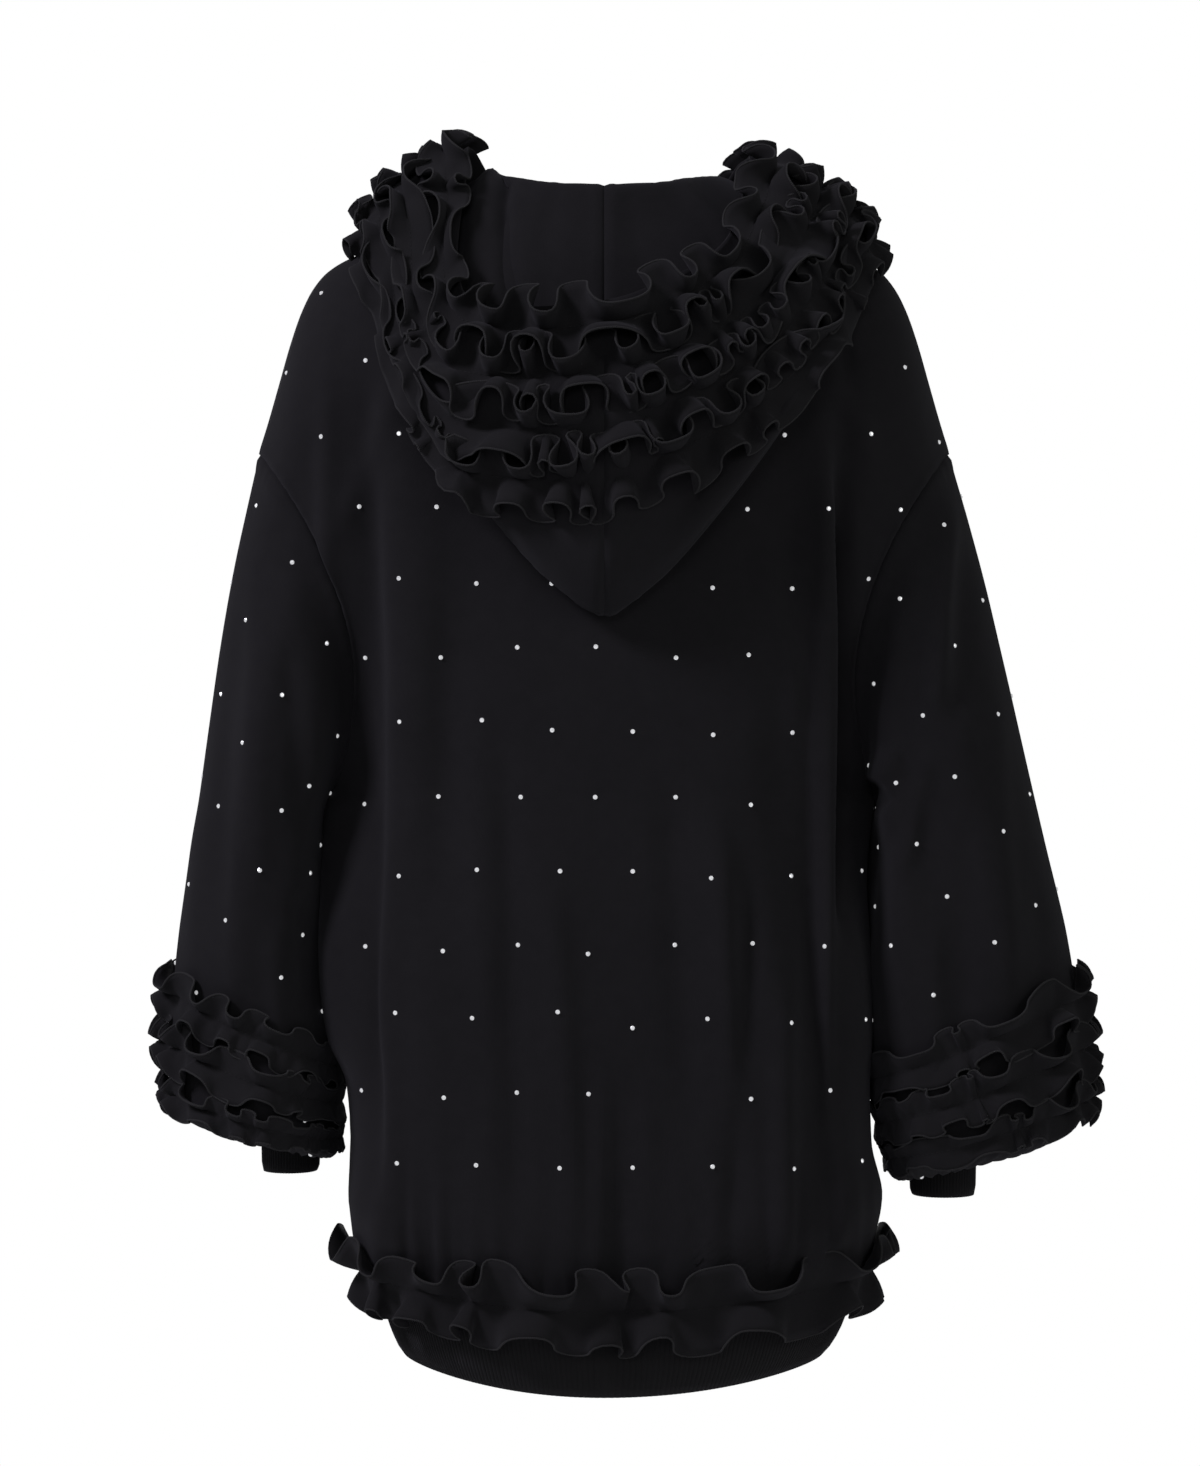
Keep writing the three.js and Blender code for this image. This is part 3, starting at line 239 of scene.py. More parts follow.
def column(tab, name, at, key="z"):
    """A column at values of the key column: a monotone cubic through the rows."""
    xs, ys = tab[key], tab[name]
    if xs[-1] < xs[0]:
        xs, ys = xs[::-1], ys[::-1]
    step = np.diff(xs)
    slope = np.diff(ys) / step
    before, after = slope[:-1], slope[1:]
    both = before * after
    total = np.where(both > 0, before + after, 1.0)
    knot = np.concatenate([slope[:1], np.where(both > 0, 2 * both / total, 0.0), slope[-1:]])
    q = np.clip(at, xs[0], xs[-1])
    i = np.clip(np.searchsorted(xs, q, side="right") - 1, 0, len(step) - 1)
    t = (q - xs[i]) / step[i]
    low = ys[i] * (1 + 2 * t) * (1 - t) ** 2 + knot[i] * step[i] * t * (1 - t) ** 2
    return low + ys[i + 1] * t * t * (3 - 2 * t) + knot[i + 1] * step[i] * t * t * (t - 1)


def ease(v):
    v = np.clip(v, 0, 1)
    return v * v * (3 - 2 * v)


def unit(v):
    return v / np.maximum(np.linalg.norm(v, axis=-1, keepdims=True), 1e-12)


def stack(x, y, z):
    return np.stack(np.broadcast_arrays(np.asarray(x, float), y, z), axis=-1)


def hump(x, middle, wide):
    return np.exp(-(((x - middle) / wide) ** 2))


ROUND = 2.3
SEAM = 0.4
CLOTH = 2.0
HEM_TOP, HEM_BOTTOM, HEM_DIP = -792, -848, 22
NECK_HALF, NECK_BACK, NECK_FRONT = 75, 60, 65
NAPE_DROP, THROAT_DROP = 12, 78
SHOULDER_ROUND = 115
TIP_X, TIP_Z, PIT_X, PIT_Z = 254, -185, 197, -431
ARMHOLE_BOW = 38
TUCK_WIDTH = 22
ZIP_EDGE = 5

BODY = table(
    "z left right back front",
    (-848, 148, 162, 92, 88),
    (-830, 156, 173, 97, 92),
    (-810, 163, 181, 101, 96),
    (-792, 171, 189, 104, 99),
    (-760, 184, 199, 109, 103),
    (-730, 188, 201, 111, 106),
    (-690, 186, 191, 112, 107),
    (-600, 191, 185, 114, 109),
    (-520, 196, 185, 115, 111),
    (-431, 197, 197, 114, 112),
    (-380, 222, 222, 112, 112),
    (-330, 241, 241, 110, 112),
    (-280, 256, 256, 109, 111),
    (-230, 266, 266, 107, 108),
    (-185, 272, 272, 104, 105),
    (20, 276, 276, 96, 96),
)
SHOULDER = table(
    "x z",
    (75, 0),
    (110, -13),
    (150, -27),
    (190, -43),
    (204, -52),
    (214, -64),
    (222, -80),
    (230, -103),
    (238, -131),
    (246, -159),
    (254, -185),
)
# Soft folds: middle line at the top, lean per mm of drop, half width, upper end, lower end, height
BACK_FOLDS = (
    (150, 0.005, 20, -90, -780, 9),
    (112, 0.02, 24, -250, -760, -6),
    (40, 0.02, 30, -430, -800, 5),
    (-14, 0.0, 13, -640, -800, -6),
    (-62, -0.03, 26, -420, -800, 5),
    (-100, -0.06, 22, -470, -790, 7),
    (-158, -0.01, 16, -130, -760, 9),
    (-130, 0.0, 18, -160, -700, -6),
)
FRONT_FOLDS = (
    (140, 0.01, 24, -110, -780, 8),
    (88, 0.02, 26, -300, -790, -6),
    (46, 0.01, 22, -420, -800, 5),
    (-52, -0.02, 24, -380, -800, 6),
    (-98, -0.01, 26, -280, -790, -6),
    (-146, -0.01, 22, -120, -780, 8),
)


def dome(q):
    return (1 - np.clip(np.abs(q), 0, 1) ** ROUND) ** (1 / ROUND)


def armhole_x(z):
    c = np.clip((z - (TIP_Z + PIT_Z) / 2) / ((TIP_Z - PIT_Z) / 2), -1, 1)
    return (TIP_X + PIT_X) / 2 + (TIP_X - PIT_X) / 2 * c - ARMHOLE_BOW * (1 - c * c)


def top_edge(x, front):
    """Height and depth of the body's top edge: the neck curve, and outside it the shoulder line."""
    ax = np.abs(x)
    c = np.sqrt(np.clip(1 - (ax / NECK_HALF) ** 2, 0, 1))
    neck_z = np.where(front, -THROAT_DROP * c, -NAPE_DROP * c * c)
    neck_y = np.where(front, NECK_FRONT * c, NECK_BACK * c)
    outside = ax >= NECK_HALF
    return np.where(outside, column(SHOULDER, "z", ax, "x"), neck_z), np.where(outside, 0.0, neck_y)


def fold_height(folds, x, z):
    total = 0
    for middle, lean, wide, top, bottom, high in folds:
        fade = ease((top - z) / 110) * ease((z - bottom + 45) / 60)
        total = total + high * fade * hump(x, middle + lean * (top - z), wide)
    return total


def half_width(x, z):
    return np.where(x >= 0, column(BODY, "left", z), column(BODY, "right", z))


def body_depth(x, z, front):
    """Distance of the cloth from the plane of the side seams, behind or in front."""
    edge = dome(x / half_width(x, z))
    seam = (np.abs(x) - armhole_x(z)) / TUCK_WIDTH
    tuck = 0.34 * ease((-235 - z) / 120) * ease((z + 560) / 100) * np.exp(-seam * seam)
    full = np.where(front, column(BODY, "front", z), column(BODY, "back", z)) * edge * (1 - tuck)
    folds = np.where(front, fold_height(FRONT_FOLDS, x, z), fold_height(BACK_FOLDS, x, z)) * edge
    top_z, top_y = top_edge(x, front)
    rise = 1 - np.clip((top_z - z) / SHOULDER_ROUND, 0, 1)
    arch = np.sqrt(1 - rise * rise)
    return top_y * (1 - arch) + (full + folds) * arch


def hem_dip(share, z):
    return HEM_DIP * (1 - share * share) * ease((-480 - z) / 280)


def body_point(x, z, front):
    share = np.clip(np.abs(x) / half_width(x, z), 0, 1)
    return stack(x, np.where(front, -1, 1) * body_depth(x, z, front), z - hem_dip(share, z))


def armhole_point(side, angle):
    """The armhole loop: angle 0 is the shoulder tip, half a turn the armpit, and the back comes first."""
    z = (TIP_Z + PIT_Z) / 2 + (TIP_Z - PIT_Z) / 2 * np.cos(angle)
    x = armhole_x(z) * side
    front = np.sin(angle) < 0
    flat = np.abs(np.sin(angle)) < 1e-6
    return stack(x, np.where(flat, 0, np.where(front, -1, 1) * body_depth(x, z, front)), z)


def armhole_frame(side, angle):
    """Outward normal of the armhole loop and the way from the body to the sleeve."""
    c, s = np.cos(angle), np.sin(angle)
    normal = unit(stack(np.where(c > 0, 0.9 * side * c, 0), s, np.where(c > 0, 0.45 * c, c)))
    along = armhole_point(side, angle + 0.02) - armhole_point(side, angle - 0.02)
    away = unit(np.cross(along, normal))
    wrong = (away * np.array((side, 0, -0.6))).sum(-1, keepdims=True) < 0
    return normal, np.where(wrong, -away, away)


# %% [markdown]
# ## From a grid to a wall of cloth
# A wall is two copies of its middle surface, half the thickness out and half in along the normal, joined round
# the edges. Its flat coordinates, in metres, carry the knit, so the stitches keep their size on every piece.


# %% Mesh makers
def grid_normals(points, ring=False):
    if ring:
        across = np.roll(points, -1, 1) - np.roll(points, 1, 1)
    else:
        across = np.gradient(points, axis=1)
    return unit(np.cross(across, np.gradient(points, axis=0)))


def even_rows(points, count):
    """The same surface with its rows spread evenly along every column."""
    made = np.empty((count,) + points.shape[1:])
    for i in range(points.shape[1]):
        line = points[:, i]
        gone = np.concatenate([[0], np.cumsum(np.linalg.norm(np.diff(line, axis=0), axis=1))])
        at = np.linspace(0, gone[-1], count)
        for k in range(3):
            made[:, i, k] = np.interp(at, gone, line[:, k])
    return made


def flat_lengths(points, axis):
    """Length gone along one grid direction, in metres, averaged over the other."""
    step = np.linalg.norm(np.diff(points, axis=axis), axis=2).mean(axis=1 - axis)
    return np.concatenate([[0], np.cumsum(step)]) * MM


def new_object(name, vertices, faces, look, uv=None, sharp=None):
    mesh = bpy.data.meshes.new(name)
    mesh.from_pydata((vertices * MM).tolist(), [], faces.tolist())
    smooth = np.ones(len(faces), bool) if sharp is None else ~sharp
    mesh.polygons.foreach_set("use_smooth", smooth)
    if uv is not None:
        corner = np.empty(len(mesh.loops), np.int64)
        mesh.loops.foreach_get("vertex_index", corner)
        layer = mesh.uv_layers.new(name="flat")
        layer.data.foreach_set("uv", uv[corner].astype(np.float32).ravel())
    mesh.materials.append(look)
    mesh.update()
    made = bpy.data.objects.new(name, mesh)
    bpy.context.collection.objects.link(made)
    return made


def plain_object(name, corners, faces, look, smooth=False):
    mesh = bpy.data.meshes.new(name)
    mesh.from_pydata((corners.reshape(-1, 3) * MM).tolist(), [], faces)
    mesh.polygons.foreach_set("use_smooth", [smooth] * len(faces))
    mesh.materials.append(look)
    mesh.update()
    made = bpy.data.objects.new(name, mesh)
    bpy.context.collection.objects.link(made)
    return made


def stitches(name, runs, pitch, look, radius=0.3, share=0.74):
    """Short threads along runs (points, outward directions), each going into the cloth at both ends."""
    corners = []
    for points, outward in runs:
        gone = np.concatenate([[0], np.cumsum(np.linalg.norm(np.diff(points, axis=0), axis=1))])
        middle = (np.arange(int(gone[-1] / pitch)) + 0.5) * pitch
        at = middle[:, None] + pitch * share * np.array((-0.5, -0.28, 0.28, 0.5))
        p = np.stack([np.interp(at, gone, points[:, k]) for k in range(3)], axis=-1)
        out = unit(np.stack([np.interp(middle, gone, outward[:, k]) for k in range(3)], axis=-1))
        side = np.cross(unit(p[:, 3] - p[:, 0]), out)
        ring = [p[:, q] + out * a * radius + side * b * radius for q in (1, 2) for a, b in ((1, 0), (0, 1), (-1, 0), (0, -1))]
        corners.append(np.stack([p[:, 0] - out * radius, *ring, p[:, 3] - out * radius], axis=1))
    corners = np.concatenate(corners)
    faces = []
    for start in range(0, 10 * len(corners), 10):
        for a in range(4):
            b = (a + 1) % 4
            faces.append([start, start + 1 + a, start + 1 + b])
            faces.append([start + 1 + a, start + 5 + a, start + 5 + b, start + 1 + b])
            faces.append([start + 9, start + 5 + b, start + 5 + a])
    return plain_object(name, corners, faces, look, True)


def grid_faces(rows, cols, ring, start=0, flip=False):
    width = cols if ring else cols - 1
    j, i = np.meshgrid(np.arange(rows - 1), np.arange(width), indexing="ij")
    a = start + j * cols + i
    b = start + j * cols + (i + 1) % cols
    quads = np.stack([a, b, b + cols, a + cols], axis=-1).reshape(-1, 4)
    return quads[:, ::-1] if flip else quads


def wall(name, points, thick, look, ring=False, normals=None):
    """A closed wall of cloth round the middle surface points[row, column]."""
    rows, cols = points.shape[:2]
    n = grid_normals(points, ring) if normals is None else normals
    outer = points + n * thick / 2
    inner = points - n * thick / 2
    under = rows * cols
    faces = [grid_faces(rows, cols, ring), grid_faces(rows, cols, ring, under, True)]
    width = cols if ring else cols - 1
    i = np.arange(width)
    k = (i + 1) % cols
    rims = [np.stack([i, under + i, under + k, k], axis=-1)]
    top = (rows - 1) * cols
    rims.append(np.stack([top + i, top + k, under + top + k, under + top + i], axis=-1))
    if not ring:
        j = np.arange(rows - 1) * cols
        end = j + cols - 1
        rims.append(np.stack([j, j + cols, under + j + cols, under + j], axis=-1))
        rims.append(np.stack([end, under + end, under + end + cols, end + cols], axis=-1))
    sharp = np.zeros(sum(len(f) for f in faces + rims), bool)
    sharp[sum(len(f) for f in faces) :] = True
    faces = np.concatenate(faces + rims)
    vertices = np.concatenate([outer.reshape(-1, 3), inner.reshape(-1, 3)])
    a, b, c = (vertices[faces[:, k]] for k in (0, 1, 2))
    d = vertices[faces[:, 3]]
    volume = (a * np.cross(b, c)).sum() + (a * np.cross(c, d)).sum()
    if volume < 0:
        faces = faces[:, ::-1]
    u, v = np.meshgrid(flat_lengths(points, 1), flat_lengths(points, 0))
    uv = np.stack([u, v], axis=-1).reshape(-1, 2)
    return new_object(name, vertices, faces, look, np.concatenate([uv, uv]), sharp)


def press(points, heights, ring=False):
    """The surface moved along its normals."""
    return points + grid_normals(points, ring) * np.asarray(heights)[..., None]


def creases(x, z, rows):
    """Soft ridges along straight lines from (x0, z0) to (x1, z1), fading at both ends."""
    total = 0
    for x0, z0, x1, z1, wide, high in rows:
        dx, dz = x1 - x0, z1 - z0
        t = ((x - x0) * dx + (z - z0) * dz) / (dx * dx + dz * dz)
        away = ((x - x0) * dz - (z - z0) * dx) / np.hypot(dx, dz)
        total = total + high * hump(away, 0, wide) * ease(t / 0.25) * ease((1 - t) / 0.25)
    return total


def wobble(w, seed, low=1, high=6, closed=True):
    """Seeded smooth noise along a row, about -1 to 1, the same at both ends when closed."""
    random = np.random.default_rng(seed)
    total = 0
    for k in range(low, high + 1):
        wave = k if closed else k + random.uniform(-0.4, 0.4)
        total = total + random.uniform(0.4, 1) * np.sin(TAU * (wave * w + random.uniform()))
    return total / np.sqrt(high - low + 1)


# %% [markdown]
# ## The body: one back and two fronts
# A share runs across the panel from side seam to side seam. Below the armpit a row is level. Above it, a row
# starts from a point of the armhole and rises to the shoulder. Small folds are then pressed into the surface.

# %% Body panels
# Drag lines on the back, as x0, z0, x1, z1, half width, height
BACK_LINES = (
    (200, -70, 198, -800, 9, 3.0),
    (172, -90, 166, -800, 11, -4.5),
    (128, -120, 132, -800, 20, 3.0),
    (96, -330, 84, -620, 14, 1.8),
    (72, -380, 60, -790, 10, -2.2),
    (40, -470, 16, -800, 9, 2.2),
    (2, -620, 4, -800, 7, 1.8),
    (-30, -640, -28, -800, 8, 1.6),
    (-46, -400, -62, -700, 13, -2.2),
    (-78, -430, -102, -720, 10, 2.8),
    (-104, -470, -92, -790, 9, -2.6),
    (-128, -560, -128, -790, 9, 2.6),
    (-146, -260, -150, -640, 9, -2.2),
    (-160, -150, -160, -720, 6, 3.6),
    (-173, -175, -174, -560, 6, -8.0),
    (-176, -90, -172, -240, 12, -3.0),
    (-150, -90, -196, -200, 9, 2.2),
    (-108, -240, -146, -400, 9, 2.2),
    (140, -120, 196, -260, 10, 1.8),
)
FRONT_LINES = (
    (180, -150, 150, -340, 10, 2.4),
    (170, -300, 160, -620, 10, -2.4),
    (120, -240, 96, -480, 12, 2.0),
    (70, -420, 62, -760, 11, -2.2),
    (30, -560, 26, -800, 9, 1.6),
    (-34, -520, -26, -800, 10, 1.8),
    (-76, -360, -84, -700, 11, -2.2),
    (-124, -260, -104, -520, 12, 2.2),
    (-168, -300, -160, -640, 10, -2.4),
    (-182, -150, -152, -340, 10, 2.4),
)
LOW_ROWS, HIGH_ROWS = 66, 86
DENSE = 260
CREASE_GAIN = 2.2


def panel_points(shares, front):
    """Middle surface of a body panel, from the hem up to the shoulder and neck."""
    side = np.where(shares == 0, np.sign(shares[-1] + shares[0]) or 1, np.sign(shares))
    share = np.abs(shares)
    inner = ZIP_EDGE if front else 0
    level = np.linspace(HEM_TOP, PIT_Z, LOW_ROWS * 2)[:, None]
    edge = np.where(side > 0, column(BODY, "left", level), column(BODY, "right", level))
    low = body_point(side * (inner + (edge - inner) * share), level + 0 * share, front)
    angle = np.radians(180) * (1 - np.linspace(0, 1, DENSE))[:, None]
    end_z = (TIP_Z + PIT_Z) / 2 + (TIP_Z - PIT_Z) / 2 * np.cos(angle)
    end_x = armhole_x(end_z)
    x = side * (inner + (end_x - inner) * share)
    lift = ease(1 - angle / np.radians(180)) ** 0.8
    z = end_z + (top_edge(x, front)[0] - top_edge(end_x, front)[0]) * lift
    high = body_point(x, z, front)
    points = np.concatenate([even_rows(low, LOW_ROWS)[:-1], even_rows(high, HIGH_ROWS)])
    way = -1 if front else 1
    points[..., 1] = way * np.maximum(way * points[..., 1], SEAM / 2)
    return points


def hem_gathers(x, z, seed):
    """Narrow folds where the cloth is drawn in above the hem ruffle."""
    pull = ease((-668 - z) / 110)
    warp = 5 * wobble(x / 400, seed)
    fine = np.sin(TAU * (x + warp * 2) / 27) * (0.6 + 0.4 * wobble(x / 400, seed + 1, 2, 7))
    return pull * 1.9 * fine + pull**2 * 0.8 * np.sin(TAU * (x + warp) / 12.5)


def seam_relief(away):
    """A seam: the cloth dips into it and rolls up beside it. away is the distance from the seam in mm."""
    return -1.1 * np.exp(-((away / 2.6) ** 2)) + 0.55 * hump(away, 6.5, 3.6)


def panel_height(points, front):
    """Small folds, hem gathers and seams of a body panel."""
    x, z = points[..., 0], points[..., 2]
    lines = FRONT_LINES if front else BACK_LINES
    heights = CREASE_GAIN * creases(x, z, lines) + hem_gathers(x, z, 21 if front else 22)
    heights = heights + 0.8 * np.sin(x / 31 + 1.4 * np.sin(z / 83)) * np.sin(z / 67 + 0.7 * np.sin(x / 45))
    spread = np.linalg.norm(np.diff(points, axis=1), axis=2)
    gone = np.concatenate([np.zeros((len(points), 1)), np.cumsum(spread, axis=1)], axis=1)
    first, last = gone, gone[:, -1:] - gone
    shift = 0.35 * np.sin(z / 2.1 + 2 * np.sin(z / 17))
    for near in (first, last):
        if front and abs(x[0, 0 if near is first else -1]) < 50:
            heights = heights * ease(near / 30) - 0.5 * hump(near, 9, 1.6)
        else:
            heights = heights * ease(near / 11) + seam_relief(near) + shift * hump(near, 4, 4)
    climb = np.linalg.norm(np.diff(points, axis=0), axis=2)
    up = np.concatenate([np.zeros((1, points.shape[1])), np.cumsum(climb, axis=0)])
    top = up[-1:] - up
    return heights * ease(top / 24) + seam_relief(top) * (np.abs(x) > NECK_HALF)


# Below the armpits the real body hangs squarer than the solid's oval, and no gap shows by the sleeves
SQUARE = 3.3
SIDES = table("z left right", (-430, 12, 12), (-480, 13, 12), (-560, 12, 13), (-610, 9, 13), (-650, 1, 9), (-720, 0, 5), (-790, 0, 0))


def squared(points):
    """The panel with squarer sides and a little more width, but for the side seams, which stay in."""
    x, y, z = points[..., 0], points[..., 1], points[..., 2]
    fade = ease((-432 - z) / 12) * ease((z + 798) / 60)
    slow = ease((-431 - z) / 170) * ease((z + 798) / 60)
    share = np.clip(np.abs(x) / half_width(x, z), 0, 1)
    power = 2 / (ROUND + (SQUARE - ROUND) * slow)
    sine = share ** (ROUND / 2)
    cosine = np.sqrt(np.clip(1 - sine * sine, 1e-12, 1))
    grow = np.where(x > 0, column(SIDES, "left", z), column(SIDES, "right", z)) * (1 - hump(y, 0, 16))
    spread = slow * share**3 + np.maximum(fade - slow, 0) * share**16
    wide = (half_width(x, z) + grow * spread) * sine**power
    made = stack(np.sign(x) * wide, y * cosine ** (power - 2 / ROUND), z)
    near_zip = (1 - ease((np.abs(x) - 20) / 40))[..., None]
    return made * (1 - near_zip) + points * near_zip


def body_shares(count, low, high):
    tau = np.linspace(low, high, count)
    return np.sign(tau) * np.abs(np.sin(tau)) ** (2 / ROUND)


def panel(name, shares, front):
    points = squared(panel_points(shares, front))
    sample = grid_normals(points)[40, len(shares) // 2, 1]
    if sample * (-1 if front else 1) < 0:
        points = points[:, ::-1]
    shaped = press(points, panel_height(points, front))
    return shaped, wall(name, shaped, CLOTH, JERSEY)


HALF_PI = np.pi / 2
back_points, back = panel("back", body_shares(161, -HALF_PI, HALF_PI), False)
left_points, front_left = panel("front_left", body_shares(81, 0, HALF_PI), True)
right_points, front_right = panel("front_right", body_shares(81, -HALF_PI, 0), True)
print("back panel points:", back_points.shape)

# %% [markdown]
# ## Sleeves and cuffs
# A sleeve is a row of rings. Each ring is an ellipse from its outer to its inner point, and the top ring is
# drawn to the armhole. The rings close in fast at the end, where the rib cuff takes the cloth in.

# %% Sleeves
RINGS = "row xOut zOut xIn zIn bow back front y"
SLEEVE = {
    1: table(
        RINGS,
        (0, 254, -185, 197, -431, 38, 82, 82, 0),
        (1, 261, -215, 205, -447, 30, 83, 81, -1),
        (2, 271, -262, 209, -466, 20, 85, 82, -3),
        (3, 282, -325, 209, -490, 10, 87, 84, -5),
        (4, 293, -396, 206, -522, 4, 88, 85, -8),
        (5, 304, -472, 202, -562, 0, 89, 86, -12),
        (6, 314, -540, 199, -606, 0, 90, 86, -16),
        (7, 318, -580, 198, -638, 0, 90, 86, -19),
        (8, 320, -618, 198, -666, 0, 90, 86, -22),
        (9, 321, -655, 198, -692, 0, 87, 83, -24),
        (10, 315, -672, 199, -701, 0, 79, 75, -25),
        (11, 293, -680, 204, -705, 0, 58, 55, -26),
        (12, 257, -674, 210, -696, 0, 38, 38, -26),
    ),
    -1: table(
        RINGS,
        (0, 254, -185, 197, -431, 38, 82, 82, 0),
        (1, 263, -215, 204, -447, 30, 83, 81, -1),
        (2, 276, -262, 205, -466, 20, 85, 82, -3),
        (3, 291, -325, 202, -492, 10, 88, 84, -5),
        (4, 308, -396, 197, -524, 4, 90, 85, -8),
        (5, 326, -472, 194, -566, 0, 92, 86, -12),
        (6, 342, -540, 195, -612, 0, 93, 86, -16),
        (7, 349, -583, 199, -648, 0, 94, 86, -19),
        (8, 354, -622, 205, -680, 0, 94, 86, -22),
        (9, 357, -660, 211, -706, 0, 90, 84, -24),
        (10, 351, -680, 213, -717, 0, 82, 76, -25),
        (11, 327, -691, 219, -722, 0, 60, 57, -26),
        (12, 279, -687, 226, -712, 0, 38, 38, -26),
    ),
}
LAST_RING = 12
CUFF_END = {1: -716, -1: -734}
CUFF_RIB = 2.4
# Sleeve folds: angle, turn per ring, half width in degrees, first and last ring, height
SLEEVE_FOLDS = (
    (62, 2.2, 15, 0.4, 7, 6),
    (112, -1.5, 17, 1.5, 8, -6),
    (250, 1.6, 17, 1, 8, 6),
    (300, -1.8, 16, 1, 7, -5),
)
# Broad swellings that only the picture has, in the same form
SLEEVE_SWELLS = {1: ((118, -1.0, 30, 0.6, 10.5, 8), (96, 1.0, 22, 0.6, 10, 3)), -1: ((138, -1.0, 26, 0.6, 10.5, 14),)}
# Finer folds of the sleeves, as x0, z0, x1, z1, half width, height: behind, then in front
SLEEVE_LINES = {
    (1, 1): (
        (226, -90, 214, -200, 6, -2.6),
        (238, -110, 232, -210, 6, 2.0),
        (248, -200, 214, -262, 7, 1.6),
        (232, -300, 214, -480, 10, -3.4),
        (252, -250, 250, -520, 10, 3.0),
        (274, -330, 280, -620, 9, -2.4),
        (222, -500, 214, -600, 8, -4.5),
        (240, -520, 236, -660, 8, 3.0),
        (296, -430, 306, -640, 8, 2.2),
        (262, -560, 262, -690, 7, -2.2),
    ),
    (1, -1): (
        (-238, -80, -228, -210, 8, -2.6),
        (-254, -205, -236, -400, 8, 4.6),
        (-236, -396, -214, -500, 8, 4.0),
        (-268, -230, -254, -400, 11, -4.4),
        (-194, -425, -208, -445, 9, -5.0),
        (-214, -400, -196, -430, 8, 5.0),
        (-208, -450, -196, -560, 9, -3.8),
        (-282, -330, -296, -620, 10, 2.8),
        (-262, -420, -262, -640, 10, -2.6),
        (-238, -500, -240, -690, 9, 2.6),
        (-312, -480, -330, -660, 9, -2.2),
        (-216, -290, -206, -400, 7, 2.6),
    ),
    (-1, 1): (
        (236, -200, 232, -430, 10, 2.4),
        (262, -260, 270, -560, 10, -2.4),
        (232, -460, 226, -640, 10, -2.6),
        (292, -420, 300, -640, 9, 2.2),
    ),
    (-1, -1): (
        (-236, -200, -232, -430, 10, 2.4),
        (-262, -260, -276, -560, 10, -2.4),
        (-232, -460, -230, -640, 10, -2.6),
        (-300, -420, -320, -640, 9, 2.2),
    ),
}


def sleeve_ring(side, angle, row):
    get = {n: column(SLEEVE[side], n, row, "row") for n in RINGS.split()[1:]}
    c, s = np.cos(angle), np.sin(angle)
    x = (get["xOut"] + get["xIn"]) / 2 + (get["xOut"] - get["xIn"]) / 2 * c - get["bow"] * s * s
    y = get["y"] + np.where(s >= 0, get["back"], get["front"]) * np.sign(s) * np.abs(s) ** 0.9
    z = (get["zOut"] + get["zIn"]) / 2 + (get["zOut"] - get["zIn"]) / 2 * c
    return stack(x * side, y, z)


def turned_folds(folds, angle, row):
    degrees = np.degrees(angle) % 360
    total = 0
    for at, turn, wide, first, last, high in folds:
        off = (degrees - at - turn * row + 540) % 360 - 180
        total = total + high * ease((row - first) / 1.5) * ease((last - row) / 1.5) * hump(off, 0, wide)
    return total


def sleeve_point(side, angle, row):
    angle, row = np.broadcast_arrays(np.asarray(angle, float), np.asarray(row, float))
    p = sleeve_ring(side, angle, row)
    start = armhole_point(side, angle) + armhole_frame(side, angle)[1] * SEAM / 2
    p = p + (start - sleeve_ring(side, angle, 0 * row)) * (1 - ease(row / 3))[..., None]
    middle = (sleeve_ring(side, 0 * angle, row) + sleeve_ring(side, 0 * angle + np.pi, row)) / 2
    out = (p - middle) * (1, 1, 0)
    return p + unit(out) * turned_folds(SLEEVE_FOLDS + SLEEVE_SWELLS[side], angle, row)[..., None]


SLEEVE_ANGLES = 150
SLEEVE_ROWS = 128
# Below the armpit the sleeve's inner side leans to the body: most, and mm per mm of drop
INNER_LEAN, LEAN_RISE = 9.0, 0.38


def leaned(points, side):
    x, y, z = points[..., 0] * side, points[..., 1], points[..., 2]
    lean = np.clip(LEAN_RISE * (PIT_Z - z), 0, INNER_LEAN) * ease((z + 590) / 70)
    points[..., 0] -= side * lean * hump(y, 0, 15) * ease((235 - x) / 20)
    return points


